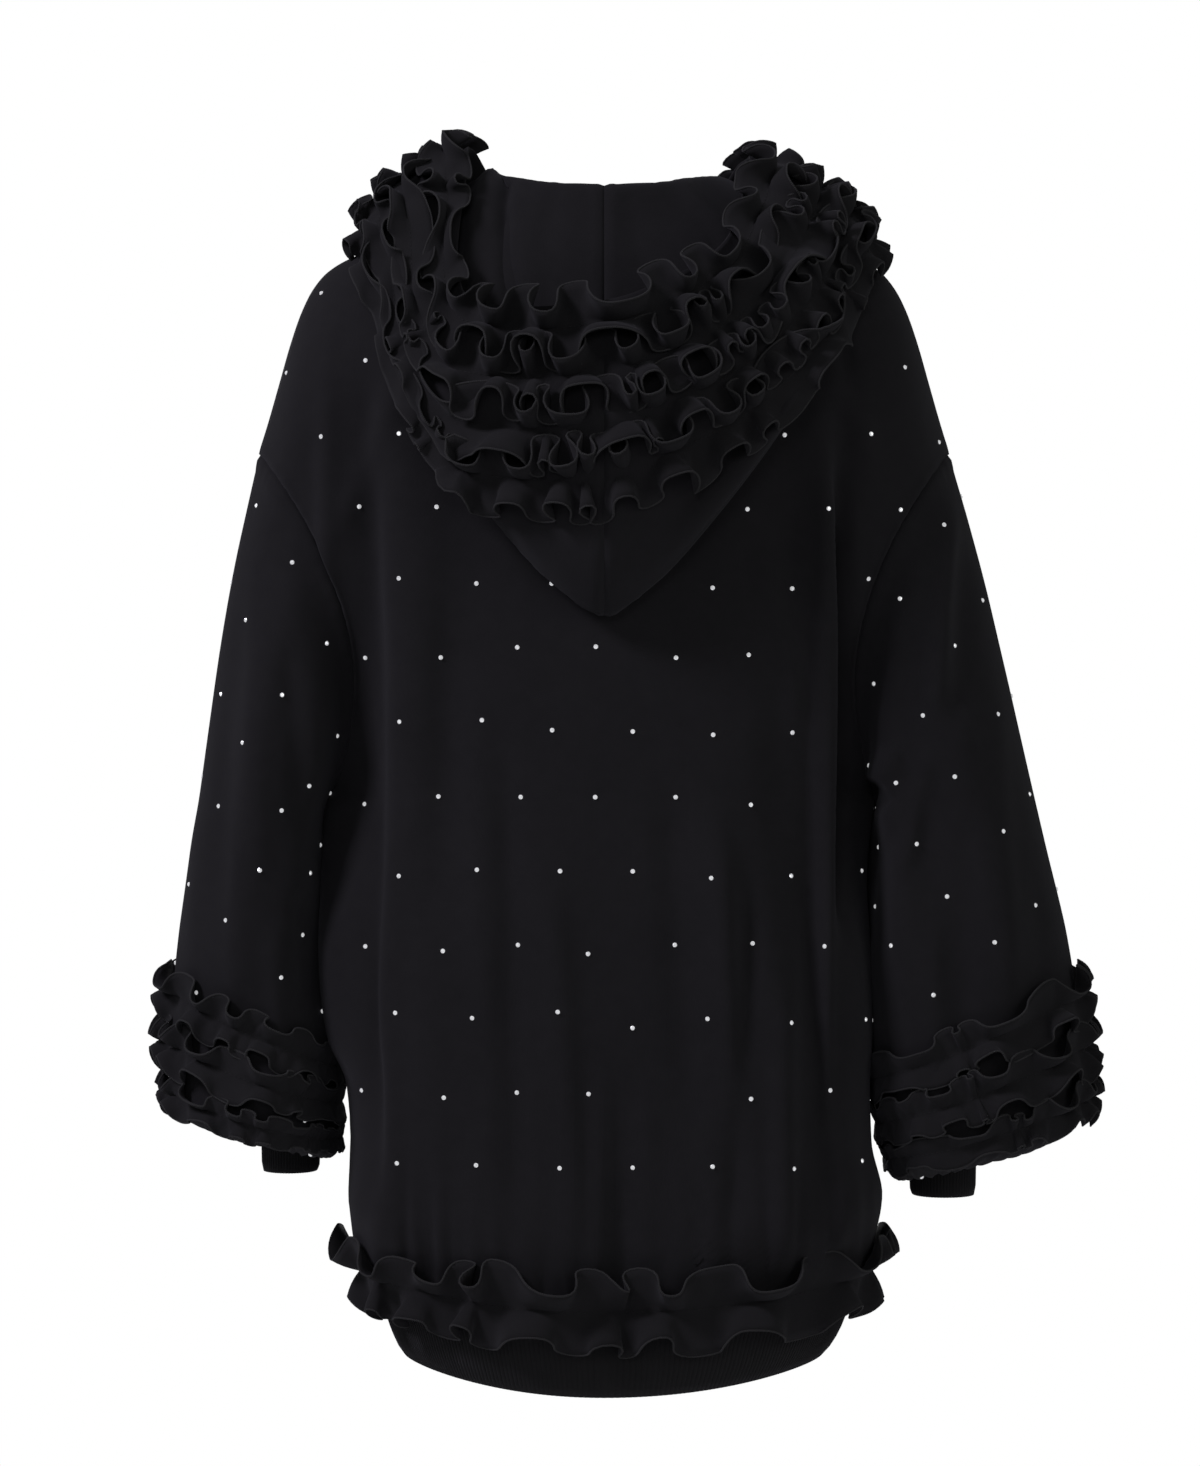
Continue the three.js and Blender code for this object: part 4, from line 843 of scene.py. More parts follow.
def sleeve_grid(side):
    angle = np.linspace(0, TAU, SLEEVE_ANGLES, endpoint=False)[None, :]
    row = np.linspace(0, LAST_RING, 241)[:, None]
    points = sleeve_point(side, angle, row)
    ring_rows = np.broadcast_to(row, points.shape[:2])
    gone = np.concatenate([np.zeros((1, SLEEVE_ANGLES)), np.cumsum(np.linalg.norm(np.diff(points, axis=0), axis=2), axis=0)])
    made = leaned(even_rows(points, SLEEVE_ROWS), side)
    rows = np.stack([np.interp(np.linspace(0, g[-1], SLEEVE_ROWS), g, r) for g, r in zip(gone.T, ring_rows.T)], axis=1)
    start = gone[-1] * np.linspace(0, 1, SLEEVE_ROWS)[:, None]
    w = angle / TAU
    gathers = ease((rows - 9.2) / 1.6) * (1.2 * np.sin(TAU * (34 * w + 0.4 * wobble(w, 5))) + 0.5 * np.sin(TAU * 71 * w))
    x, z = made[..., 0], made[..., 2]
    behind = ease(np.sin(angle) / 0.25)
    heights = creases(x, z, SLEEVE_LINES[1, side]) * behind
    heights = heights + creases(x, z, SLEEVE_LINES[-1, side]) * ease(-np.sin(angle) / 0.25)
    heights = heights + 0.7 * wobble(w, 31 + side, 2, 7) * np.sin(rows * 1.7)
    pucker = 0.5 * np.sin(TAU * (58 * w + wobble(w, 8))) * hump(start, 5, 6)
    heights = heights * ease(start / 10) + gathers + seam_relief(start) + pucker
    under = hump((angle - np.pi) * 90, 0, 3.0)
    heights = heights - 0.9 * under
    if side > 0:
        return press(made[:, ::-1], heights[:, ::-1], True)
    return press(made, heights, True)


def cuff_grid(side):
    """The rib cuff starts inside the sleeve's end and comes down level from it."""
    count = 66 * 4
    inset = CLOTH / 2 + SEAM + CUFF_RIB / 2
    angle = np.linspace(0, TAU, count, endpoint=False)
    p = sleeve_ring(side, angle, np.full(count, float(LAST_RING)))
    heart = (p[0] + p[count // 2]) / 2
    inward = unit((heart - p) * (1, 1, 0))
    share = np.linspace(0, 1, 15)[:, None]
    ribs = 0.32 * np.cos(np.arange(count) * HALF_PI) * ease(share / 0.1) * ease((1 - share) / 0.12)
    roll = 0.9 * ease((share - 0.86) / 0.14)
    points = p[None] + inward[None] * (inset + share - ribs + roll)[..., None]
    points[..., 2] += 3 + (CUFF_END[side] - points[..., 2] - 3) * share
    return points


sleeves = {}
cuffs = {}
sleeve_points = {}
for side, label in ((1, "left"), (-1, "right")):
    sleeve_points[side] = sleeve_grid(side)
    sleeves[side] = wall("sleeve_cloth_" + label, sleeve_points[side], CLOTH, JERSEY, ring=True)
    cuffs[side] = wall("cuff_rib_" + label, cuff_grid(side), CUFF_RIB - 0.4, RIB_KNIT, ring=True)
print("sleeve points:", sleeve_points[1].shape)

# %% [markdown]
# ## Hem band
# The band is a rib knit, so its ridges are real: one every 3 mm round the body, as high as a rib stands.


# %% Hem band
def skin_point(turn, z, side):
    """A point of the lower body by its turn round the middle: 0 is behind and half a turn is the zip."""
    a = np.where(side > 0, column(BODY, "left", z), column(BODY, "right", z))
    power = 2 / ROUND
    share = np.abs(np.sin(turn)) ** power
    front = np.cos(turn) < 0
    x = side * a * share
    fold = np.where(front, fold_height(FRONT_FOLDS, x, z), fold_height(BACK_FOLDS, x, z))
    b = np.where(front, column(BODY, "front", z), column(BODY, "back", z)) + fold
    y = np.where(front, -1, 1) * b * np.abs(np.cos(turn)) ** power
    return stack(x, y, z - hem_dip(share, z))


ZIP_TURN = np.pi - np.arcsin((ZIP_EDGE / 162) ** (ROUND / 2))
RIB = 3.0
BAND_RIBS = 300


def band_grid():
    turn = np.linspace(ZIP_TURN, -ZIP_TURN, BAND_RIBS * 4 + 1)[None, :]
    z = np.linspace(HEM_TOP - SEAM, HEM_BOTTOM, 9)[:, None]
    points = skin_point(np.abs(turn) + 0 * z, z + 0 * turn, np.where(turn >= 0, 1, -1))
    share = np.linspace(0, 1, 9)[:, None]
    ribs = 0.35 * np.cos(np.arange(BAND_RIBS * 4 + 1) * HALF_PI) * ease(share / 0.15) * ease((1 - share) / 0.12)
    roll = -1.2 * ease((share - 0.85) / 0.15)
    return press(points, -(ribs + roll))


band_points = band_grid()
band = wall("hem_band_rib", band_points, RIB - 0.5, RIB_KNIT)

# %% [markdown]
# ## Hood
# The hood lies back off the head. In every direction round the neck its profile climbs the stand, goes down
# the inner wall into the bag, and comes back up the outer wall to the lip of the opening.

# %% Hood
HOOD = table(
    "dir crestR crestZ bagR bagZ bulge lipR lipZ",
    (-176, 75, -58, 88, -76, 2, 84, -46),
    (-158, 78, -44, 102, -76, 6, 86, -32),
    (-138, 82, -22, 126, -70, 9, 90, -8),
    (-116, 86, 2, 154, -48, 12, 96, 14),
    (-97, 89, 17, 186, -33, 14, 102, 32),
    (-80, 88, 18, 190, -42, 16, 108, 33),
    (-64, 85, 16, 184, -90, 18, 117, 20),
    (-50, 82, 13, 186, -150, 18, 129, -6),
    (-34, 79, 9, 154, -232, 19, 150, -42),
    (-17, 77, 7, 130, -288, 20, 163, -68),
    (0, 76, 6, 124, -313, 18, 168, -86),
    (17, 77, 7, 130, -288, 18, 167, -90),
    (34, 79, 9, 152, -232, 17, 163, -84),
    (50, 82, 13, 177, -150, 16, 138, -48),
    (64, 85, 17, 172, -80, 16, 112, 14),
    (80, 87, 20, 168, -34, 14, 101, 40),
    (97, 87, 19, 162, -26, 13, 98, 42),
    (116, 84, 4, 142, -44, 11, 93, 22),
    (138, 82, -22, 122, -68, 9, 89, -8),
    (158, 78, -44, 102, -76, 6, 86, -32),
    (176, 75, -58, 88, -76, 2, 84, -46),
)
HOOD_INSET, HOOD_SINK, HOOD_CLEAR, BAG_ROUND = 2.4, 1, 4.5, 9


def body_radius(way, z):
    """Radius at which the body is left behind, going out from the middle in a direction at a level."""
    s, c = np.sin(way), np.cos(way)
    low = np.full(np.broadcast(way, z).shape, 20.0)
    high = np.full(low.shape, 300.0)
    for _ in range(22):
        r = (low + high) / 2
        x = r * s
        inside = top_edge(x, c < 0)[0] > z
        inside &= np.abs(x) < half_width(x, z)
        inside &= r * np.abs(c) < body_depth(x, z, c < 0)
        low = np.where(inside, r, low)
        high = np.where(inside, high, r)
    return (low + high) / 2


def neck_profile(way):
    """Radius and height of the neck edge in a direction, on the panels' own polygon."""
    turns = np.radians(np.arange(0, 181, 22.5))
    cx = NECK_HALF * np.sin(turns)
    front = np.arange(9) > 4
    cz, cy = top_edge(cx, front)
    cy = np.where(front, -cy, cy)
    s, c = np.abs(np.sin(way)), np.cos(way)
    k = sum((s * cy[i] > c * cx[i]).astype(int) for i in range(1, 8))
    dx, dy = cx[k + 1] - cx[k], cy[k + 1] - cy[k]
    r = (cx[k] * dy - cy[k] * dx) / (s * dy - c * dx)
    share = np.hypot(r * s - cx[k], r * c - cy[k]) / np.hypot(dx, dy)
    return r - HOOD_INSET, cz[k] + (cz[k + 1] - cz[k]) * share - HOOD_SINK


HOOD_COLUMNS, HOOD_STEPS = 100, 100
HOOD_ROWS = 140


def hood_sheet():
    """The whole hood as points[t, direction]: t climbs the stand, then goes down the inner and up the outer wall."""
    degrees = np.linspace(-176, 176, 2 * HOOD_COLUMNS - 1)
    way = np.radians(degrees)
    get = {n: column(HOOD, n, degrees, "dir") for n in HOOD if n != "dir"}
    neck_r, neck_z = neck_profile(way)
    u = np.linspace(0, 1, HOOD_STEPS + 1)[:, None]

    def clear(z):
        return body_radius(way, z - HOOD_CLEAR) + HOOD_CLEAR

    stand_r = neck_r + (get["crestR"] - neck_r) * u * u
    stand_z = neck_z + (get["crestZ"] - neck_z) * np.sin(u * HALF_PI)
    inner_z = get["crestZ"] + (get["bagZ"] - get["crestZ"]) * u
    direct = get["crestR"] + (get["bagR"] - get["crestR"]) * u + 5 * np.sin(np.pi * np.minimum(1, u * 2))
    inner_r = np.maximum(direct, clear(inner_z))
    base = np.maximum(get["bagR"], clear(get["bagZ"]))
    outer_r = base + (get["lipR"] - base) * u
    outer_r = outer_r + (BAG_ROUND + get["bulge"] * np.sin(np.pi * u)) * ease(u / 0.16)
    outer_r = outer_r - BAG_ROUND * ease((u - 0.6) / 0.4)
    outer_z = get["bagZ"] + (get["lipZ"] - get["bagZ"]) * u
    outer_z = outer_z - BAG_ROUND * 0.5 * np.sin(np.pi * np.minimum(1, u / 0.2))
    r = np.concatenate([stand_r[:-1], inner_r[:-1], outer_r])
    z = np.concatenate([stand_z[:-1], inner_z[:-1], outer_z])
    return degrees, stack(r * np.sin(way), r * np.cos(way), z)


HOOD_TURNS, HOOD_SHEET = hood_sheet()
print("hood sheet:", HOOD_SHEET.shape)


def hood_point(degrees, t):
    """A point of the hood's plain form, between the nearest four of the sheet."""
    degrees, t = np.broadcast_arrays(np.asarray(degrees, float), np.asarray(t, float))
    step = HOOD_TURNS[1] - HOOD_TURNS[0]
    across = np.clip((degrees - HOOD_TURNS[0]) / step, 0, len(HOOD_TURNS) - 1.001)
    up = np.clip(t * HOOD_STEPS, 0, len(HOOD_SHEET) - 1.001)
    i, j = across.astype(int), up.astype(int)
    a, b = (across - i)[..., None], (up - j)[..., None]
    low = HOOD_SHEET[j, i] * (1 - a) + HOOD_SHEET[j, i + 1] * a
    high = HOOD_SHEET[j + 1, i] * (1 - a) + HOOD_SHEET[j + 1, i + 1] * a
    return low * (1 - b) + high * b


# Folds of the hood, as lines from (direction, t) to (direction, t), half width in mm, height
HOOD_LINES = {
    1: (
        (68, 0.86, 26, 1.46, 6, -9.0),
        (80, 0.86, 44, 1.5, 9, 5.0),
        (30, 0.95, 18, 1.5, 12, -1.6),
        (6, 2.16, 66, 2.3, 8, 1.6),
        (30, 2.32, 90, 2.5, 10, -1.6),
        (80, 2.2, 130, 2.5, 8, 2.4),
    ),
    -1: (
        (10, 0.95, 30, 1.8, 12, -2.0),
        (40, 0.9, 60, 1.6, 10, 2.4),
        (8, 2.13, 72, 2.22, 6, 4.6),
        (12, 2.24, 74, 2.34, 7, -5.0),
        (16, 2.4, 60, 2.48, 8, 2.0),
        (78, 2.2, 130, 2.5, 8, 2.4),
    ),
}
MM_PER_DEGREE, MM_PER_T = 2.4, 110
# The centre seam stands out behind as a blunt keel: height and reach
KEEL_HIGH, KEEL_REACH = 9, 75
SEAM_LAP = 0.3


def hood_grid(side):
    degrees = HOOD_TURNS[HOOD_COLUMNS - 1 :] if side > 0 else HOOD_TURNS[HOOD_COLUMNS - 1 :: -1]
    t = np.linspace(0, 3, len(HOOD_SHEET))
    points = HOOD_SHEET[:, HOOD_COLUMNS - 1 :] if side > 0 else HOOD_SHEET[:, HOOD_COLUMNS - 1 :: -1]
    points = points.copy()
    for _ in range(24):
        points[1:-1] = (points[:-2] + 2 * points[1:-1] + points[2:]) / 4
    gone = np.cumsum(np.linalg.norm(np.diff(points, axis=0), axis=2), axis=0)
    gone = np.concatenate([np.zeros((1, HOOD_COLUMNS)), gone])
    made = even_rows(points, HOOD_ROWS)
    at = np.linspace(0, 1, HOOD_ROWS)
    ts = np.stack([np.interp(at * g[-1], g, t) for g in gone.T], axis=1)
    turn = np.abs(degrees)[None, :] + 0 * ts
    lines = [
        (d0 * MM_PER_DEGREE, t0 * MM_PER_T, d1 * MM_PER_DEGREE, t1 * MM_PER_T, wide, high)
        for d0, t0, d1, t1, wide, high in HOOD_LINES[side]
    ]
    heights = creases(turn * MM_PER_DEGREE, ts * MM_PER_T, lines)
    heights = heights + 0.9 * np.sin(turn / 13 + 2 * ts) * np.sin(ts * 3.1 + 0.5) * ease((ts - 1) / 0.4)
    arc = np.linalg.norm(made[..., :2], axis=2) * np.radians(turn)
    puckers = 0.4 * np.sin(ts * MM_PER_T / 2.6 + 3 * np.sin(ts * 9)) * hump(arc, 4, 5)
    heights = heights * ease(arc / 14) * ease((3 - ts) / 0.1) + seam_relief(arc) + puckers
    heights[ts < 0.35] = 0
    normals = grid_normals(made)
    out = np.where(normals[HOOD_ROWS * 3 // 4, 20, 1] > 0, 1, -1)
    facing = np.where(ts < 2, -1, 1)
    shaped = made + normals * (heights * facing)[..., None] * out
    keel = KEEL_HIGH * (1 - ease(arc / KEEL_REACH)) * ease((ts - 2.0) / 0.25) * ease((2.95 - ts) / 0.3)
    shaped[..., 1] += keel
    shaped[:, 0, 0] = -side * SEAM_LAP
    return shaped


hood_points = {side: hood_grid(side) for side in (1, -1)}
hood_normals = {side: grid_normals(hood_points[side]) for side in (1, -1)}
# Both halves take the same middle line and the same normals along it
hood_seam = (hood_points[1][:, 0] + hood_points[-1][:, 0]) / 2
seam_normal = unit(hood_normals[1][:, 0] * (0, 1, 1))
hoods = {}
for side, label in ((1, "left"), (-1, "right")):
    hood_points[side][:, 0, 1:] = hood_seam[:, 1:]
    hood_normals[side][:, 0] = seam_normal * np.sign((hood_normals[side][:, 0] * seam_normal).sum(-1, keepdims=True))
    hoods[side] = wall("hood_cloth_" + label, hood_points[side], CLOTH, JERSEY, normals=hood_normals[side])
print("hood points:", hood_points[1].shape)

# %% [markdown]
# ## Ruffles
# A ruffle is a strip gathered along its middle. Each free edge is a walk whose heading swings from side to side:
# a wide swing makes it double back in curls, and a narrow one makes long petals. Where the lobes are short the
# swing is wide. The root follows the row, and takes as much of the row as the walk gains. An overlock thread, a
# little lighter than the cloth, runs round both edges, and a gathering stitch runs down the middle.

# %% Ruffles
FRILL = 1.2
FRILL_LIFT = CLOTH / 2 + 0.5 + FRILL / 2
STEPS_PER_WAVE = 20
ACROSS = 5
PETAL = 0.2
PINCH = 1.5
EDGE_RADIUS = 0.8
LOBE_LENGTHS = (0.4, 1.7)
MOST_BEND = 2.15
LEAN = 5.0
PLEAT = 0.6


def row_frame(surface, w, step, lift):
    """Point, normal, across, along and squareness of a row on a surface."""
    a, b = surface(w - step, 0), surface(w + step, 0)
    along = unit(b - a)
    rise = unit(surface(w, step) - surface(w, -step))
    normal = np.cross(along, rise)
    square = np.linalg.norm(normal, axis=-1)
    normal = unit(normal)
    across = unit(np.cross(normal, along))
    return surface(w, 0) + normal * lift, normal, across, along, square


def advance(bend):
    """Share of its own length that a walk gains when its heading swings by bend (the Bessel function J0)."""
    q = bend * bend / 4
    return 1 - q + q**2 / 4 - q**3 / 36 + q**4 / 576


def drift_free(values, reach, ring):
    """Values without their slow part: a moving mean over reach steps either side is taken off."""
    weights = np.hanning(2 * reach + 3)[1:-1]
    if ring:
        values = values - values[-1] * np.linspace(0, 1, len(values))
        padded = np.pad(values[:-1], reach, mode="wrap")
        clean = values[:-1] - np.convolve(padded, weights / weights.sum(), "valid")
        return np.append(clean, clean[0])
    padded = np.pad(values, reach, mode="reflect", reflect_type="odd")
    return values - np.convolve(padded, weights / weights.sum(), "valid")


def ruffle_walk(waves, bends, seed, ring, room):
    """Steps of a gathered strip: the root's share of the row, and each edge's lead and swing, in steps."""
    random = np.random.default_rng(seed)
    steps = waves * STEPS_PER_WAVE
    s = np.linspace(0, 1, steps + 1)
    lobes = random.uniform(*LOBE_LENGTHS, waves) * room((np.arange(waves) + 0.5) / waves) ** 0.7
    knots = {"s": np.concatenate([[0], np.cumsum(lobes) / lobes.sum()]), "n": np.arange(waves + 1.0)}
    count = column(knots, "n", s, "s")
    crowd = np.gradient(count, s) / waves - 1
    low, high = bends
    bend = (low + high) / 2 + (high - low) / 2 * (0.8 * crowd + 0.6 * wobble(s, seed + 1, 2, waves, ring))
    bend = np.clip(bend, low * 0.8, MOST_BEND)
    if ring:
        bend = bend + (bend[0] - bend[-1]) * ease((s - 0.97) / 0.03)
    gain = advance(bend)
    root = np.concatenate([[0], np.cumsum((gain[1:] + gain[:-1]) / 2)])
    edges = {}
    for sign in (1, -1):
        shift = random.uniform(0, TAU) + 0.5 * wobble(s, seed + 5 + sign, 2, waves // 2, ring)
        heading = bend * np.sin(TAU * count + shift)
        lead = np.cumsum(np.cos(heading)) - np.cumsum(gain)
        swing = np.cumsum(np.sin(heading))
        reach = int(1.1 * STEPS_PER_WAVE)
        edges[sign] = drift_free(lead - lead[0], reach, ring), drift_free(swing - swing[0], reach, ring)
    return root / root[-1], root[-1], edges, count


def ruffle_grid(spot, waves, half, least, most, ring, seed, bends, upper=1.0):
    """Points of a ruffle, edge to edge. Both of its halves swing between the least and the most slope."""
    w, gained, edges, count = ruffle_walk(waves, bends, seed, ring, half)
    if ring:
        w, count = w[:-1], count[:-1]
    point, normal, across, along, square = spot(w)
    lap = np.append(point, point[:1], axis=0) if ring else point
    step_mm = np.linalg.norm(np.diff(lap, axis=0), axis=1).sum() / gained
    size = half(w) * square
    lean = LEAN * wobble(w, seed + 11, 2, waves, ring)
    rows = {0: point}
    for sign in (1, -1):
        lead, swing = (v[: len(w)] * step_mm for v in edges[sign])
        low, high = np.radians(least(w)), np.radians(most(w)) * (upper if sign > 0 else 1.0)
        reach = size * (1.04 + 0.12 * wobble(w, seed + 15 + sign, 2, waves, ring))
        swing = swing / np.percentile(np.abs(swing), 95)
        swing = swing / (1 + swing**6) ** (1 / 6)
        angle = low + (high - low) * ((1 + swing) / 2) ** PINCH
        reach = reach * (1 - PETAL * swing)
        slide = 0.85 * reach * np.tanh((lead + lean * swing) / (0.85 * reach))
        flat = np.sqrt(reach**2 - slide**2)
        p = point
        for k in range(1, ACROSS + 1):
            v = k / ACROSS
            bend = angle * (1.35 - 0.6 * v)
            step = flat / ACROSS
            p = p + across * (sign * step * np.cos(bend))[:, None] + normal * (step * np.sin(bend))[:, None]
            pleat = PLEAT * np.sin(TAU * 3 * count + sign) * np.exp(-(((v - 0.3) / 0.3) ** 2))
            rows[sign * k] = p + along * (slide * v**1.4)[:, None] + normal * pleat[:, None]
    return np.stack([rows[k] for k in range(ACROSS, -ACROSS - 1, -1)]), normal


def tube(name, lines, radius, look, ring, sides=6):
    """Round cords along lines (centres, outward directions), as one mesh."""
    vertices, faces, uvs = [], [], []
    start = 0
    for centre, outward in lines:
        count = len(centre)
        run = (np.roll(centre, -1, 0) - np.roll(centre, 1, 0)) if ring else np.gradient(centre, axis=0)
        run = unit(run)
        out = unit(outward - run * (outward * run).sum(-1, keepdims=True))
        side = np.cross(run, out)
        turns = np.arange(sides) / sides * TAU
        circle = out[None] * np.cos(turns)[:, None, None] + side[None] * np.sin(turns)[:, None, None]
        p = centre[None] + circle * radius
        gone = np.concatenate([[0], np.cumsum(np.linalg.norm(np.diff(centre, axis=0), axis=1))]) * MM
        u = np.broadcast_to(gone, (sides, count))
        v = np.broadcast_to((turns * radius * MM)[:, None], (sides, count))
        j, i = np.meshgrid(np.arange(sides), np.arange(count if ring else count - 1), indexing="ij")
        k, m = (j + 1) % sides, (i + 1) % count
        quads = np.stack([j * count + i, j * count + m, k * count + m, k * count + i], axis=-1).reshape(-1, 4)
        faces.append(start + quads)
        if not ring:
            for end, flip in ((0, 1), (count - 1, -1)):
                cap = (start + np.arange(sides) * count + end)[::flip]
                for q in range(0, sides - 2, 2):
                    faces.append(np.array([[cap[0], cap[q + 1], cap[q + 2], cap[(q + 3) % sides]]]))
        vertices.append(p.reshape(-1, 3))
        uvs.append(np.stack([u, v], axis=-1).reshape(-1, 2))
        start += sides * count
    return new_object(name, np.concatenate(vertices), np.concatenate(faces), look, np.concatenate(uvs))


frills = {}
frill_edges = {}
gather_runs = []


def add_ruffle(name, node, spot, waves, half, least, most, ring, seed, bends, upper=1.0):
    grid, normal = ruffle_grid(spot, waves, half, least, most, ring, seed, bends, upper)
    gather_runs.append((grid[ACROSS] + normal * (FRILL / 2 + 0.1), normal))
    frills[node] = wall(name, grid, FRILL, FRILL_CLOTH, ring=ring)
    lines = [(grid[0], grid[0] - grid[1]), (grid[-1], grid[-1] - grid[-2])]
    frill_edges[node] = tube(name + "_edge", lines, EDGE_RADIUS, EDGE_THREAD, ring)
    return grid


OUTER_LENGTHS = np.linalg.norm(np.diff(HOOD_SHEET[2 * HOOD_STEPS :], axis=0), axis=2).sum(axis=0)


def outer_length(degrees):
    """Length of the hood's outer wall in one direction, from lip to bag bottom."""
    return np.interp(degrees, HOOD_TURNS, OUTER_LENGTHS)


# Row, reach in degrees, waves, greatest slope, lift
HOOD_FRILLS = ((0, 168, 31, 76, 1.6), (1, 146, 30, 68, 0.3), (2, 128, 26, 64, 0.3), (3, 112, 23, 60, 0.8))
HOOD_FRILL_HALF, HOOD_FRILL_STEP = 27, 37
for row, reach, waves, most, lift in HOOD_FRILLS:

    def spacing(degrees):
        return np.minimum(HOOD_FRILL_STEP, outer_length(degrees) / 4.2)

    def surface(w, v, row=row, reach=reach):
        degrees = reach * (1 - 2 * w)
        down = (row + 0.5) * spacing(degrees) - v * 60
        return hood_point(degrees, 3 - down / outer_length(degrees))

    def spot(w, surface=surface, lift=lift):
        return row_frame(surface, w, 0.004, FRILL_LIFT + lift)

    add_ruffle(
        "hood_ruffle_%d" % (row + 1),
        "hood_frill_%d" % (row + 1),
        spot,
        waves,
        lambda w, reach=reach: np.minimum(HOOD_FRILL_HALF, 0.74 * spacing(reach * (1 - 2 * w))),
        lambda w: 4 + 0 * w,
        lambda w, most=most: most + 0 * w,
        False,
        100 + 20 * row,
        (1.35, 2.1),
        1.05,
    )

CUFF_FRILL_HALF = 19
for side, label in ((1, "left"), (-1, "right")):

    def last_gap(w, side=side):
        angle = side * TAU * w
        return np.linalg.norm(sleeve_point(side, angle, 8 + 0 * w) - sleeve_point(side, angle, 9 + 0 * w), axis=-1)

    for k, ring_row in enumerate((7, 8, 9)):

        def surface(w, v, side=side, ring_row=ring_row):
            return sleeve_point(side, side * TAU * w, ring_row - v + 0 * w)

        def half(w, surface=surface, last_gap=last_gap):
            room = np.linalg.norm(surface(w, 0.5) - surface(w, -0.5), axis=-1)
            return np.minimum(CUFF_FRILL_HALF, 0.52 * np.minimum(room, last_gap(w)))

        add_ruffle(
            "cuff_ruffle_%s_%d" % (label, k + 1),
            "cuff_frill_%s_%d" % (label, k + 1),
            lambda w, surface=surface: row_frame(surface, w, 0.004, FRILL_LIFT),
            16,
            half,
            lambda w: 9 + 0 * w,
            lambda w: 19 + 61 * (0.5 + 0.5 * np.cos(TAU * w)),
            True,
            200 + 20 * k + side,
            (1.1, 1.9),
            1.0,
        )


def hem_surface(w, v):
    turn = (ZIP_TURN - 0.03) * (1 - 2 * w)
    return skin_point(np.abs(turn), -784 + 60 * v + 0 * w, np.where(turn >= 0, 1, -1))


add_ruffle(
    "hem_ruffle",
    "hem_frill",
    lambda w: row_frame(hem_surface, np.clip(w, 0.001, 0.999), 0.001, FRILL_LIFT + 1.5),
    22,
    lambda w: 28 + 0 * w,
    lambda w: 6 + 0 * w,
    lambda w: 20 + 38 * ease(np.minimum(w, 1 - w) / 0.03),
    False,
    300,
    (1.1, 2.05),
    0.9,
)
gather_thread = stitches("gathering_stitches", gather_runs, 4.0, SEWING_THREAD, 0.35)
print("ruffles:", len(frills))

# %% [markdown]
# ## Stones
# Small flat-backed stones sit in a staggered lattice on the body and the sleeves. Each is an eight-sided cut
# stone, set on the cloth's outer face along its normal. The stones glow a little, which is a painted glint.

# %% Stones
STONE_RADIUS, STONE_TABLE, STONE_HIGH = 1.7, 0.9, 1.15


def stones(name, spots, look):
    """Eight-sided stones at (point, normal) pairs, as one mesh."""
    sides = 8
    turns = np.arange(sides) / sides * TAU
    rings = ((STONE_RADIUS * 0.96, -0.1), (STONE_RADIUS, 0.3), (STONE_TABLE, STONE_HIGH))
    vertices, faces = [], []
    for n, (p, normal) in enumerate(spots):
        a = unit(np.cross(normal, (0.31, 0.12, 0.94)))
        b = np.cross(normal, a)
        start = n * sides * 3
        for k, (r, h) in enumerate(rings):
            t = turns + (np.pi / sides if k == 2 else 0)
            vertices.append(p + r * (np.outer(np.cos(t), a) + np.outer(np.sin(t), b)) + normal * h)
        for k in (0, 1):
            i = np.arange(sides)
            j = (i + 1) % sides
            low, high = start + k * sides, start + (k + 1) * sides
            faces += np.stack([low + i, low + j, high + j, high + i], axis=-1).tolist()
        faces.append([start + 2 * sides + q for q in range(sides)])
        faces.append([start + q for q in range(sides)][::-1])
    return plain_object(name, np.concatenate(vertices), faces, look)


def stone_look():
    # The stones glow a little through their emission. This is a painted glint that stands for flashes of light off
    # their foil.
    made, tree, shader = material("foiled stone with painted glint")
    coords = tree.nodes.new("ShaderNodeTexCoord")
    facet_tone_and_painted_glint = noise_node(tree, coords.outputs["Object"], 900.0, 0.0)
    tree.links.new(mix_color(tree, facet_tone_and_painted_glint, (0.6, 0.61, 0.64), (0.95, 0.96, 1.0)), shader.inputs["Base Color"])
    # Painted glint: the emission colour makes the stones glow, though they are no lamp.
    tree.links.new(mix_color(tree, facet_tone_and_painted_glint, (0.5, 0.5, 0.53), (1.0, 1.0, 1.0)), shader.inputs["Emission Color"])
    set_inputs(shader, Roughness=0.12, Metallic=0.55, Coat_Weight=0.6, Emission_Strength=0.55)
    shader.inputs["Coat Roughness"].default_value = 0.03
    return made


STONE = stone_look()


def lattice_body(points, way):
    """Stones on a body panel: staggered rows, found by x and z on the panel's grid."""
    normals = grid_normals(points)
    if normals[40, points.shape[1] // 2, 1] * way < 0:
        normals = -normals
    x, z = points[..., 0], points[..., 2]
    random = np.random.default_rng(SEED + way)
    spots = []
    for row in range(-6, 8):
        level = -387 - 52.5 * row
        start = 91 if row % 2 == 0 else 62.5
        for k in range(-6, 7):
            at_x = start - 56 * k + random.uniform(-3, 3)
            at_z = level + random.uniform(-3, 3) + 2 * np.sin(at_x / 60)
            gap = (x - at_x) ** 2 + (z - at_z) ** 2
            j, i = np.unravel_index(np.argmin(gap), gap.shape)
            edge = min(i, points.shape[1] - 1 - i) < 3 or j < 12 or j > len(points) - 8
            hood_bottom = -308 + 1.55 * abs(at_x) + 0.0006 * at_x**2
            if gap[j, i] > 14 or edge or (way > 0 and at_z > hood_bottom - 8):
                continue
            spots.append((points[j, i] + normals[j, i] * CLOTH / 2, normals[j, i]))
    return spots


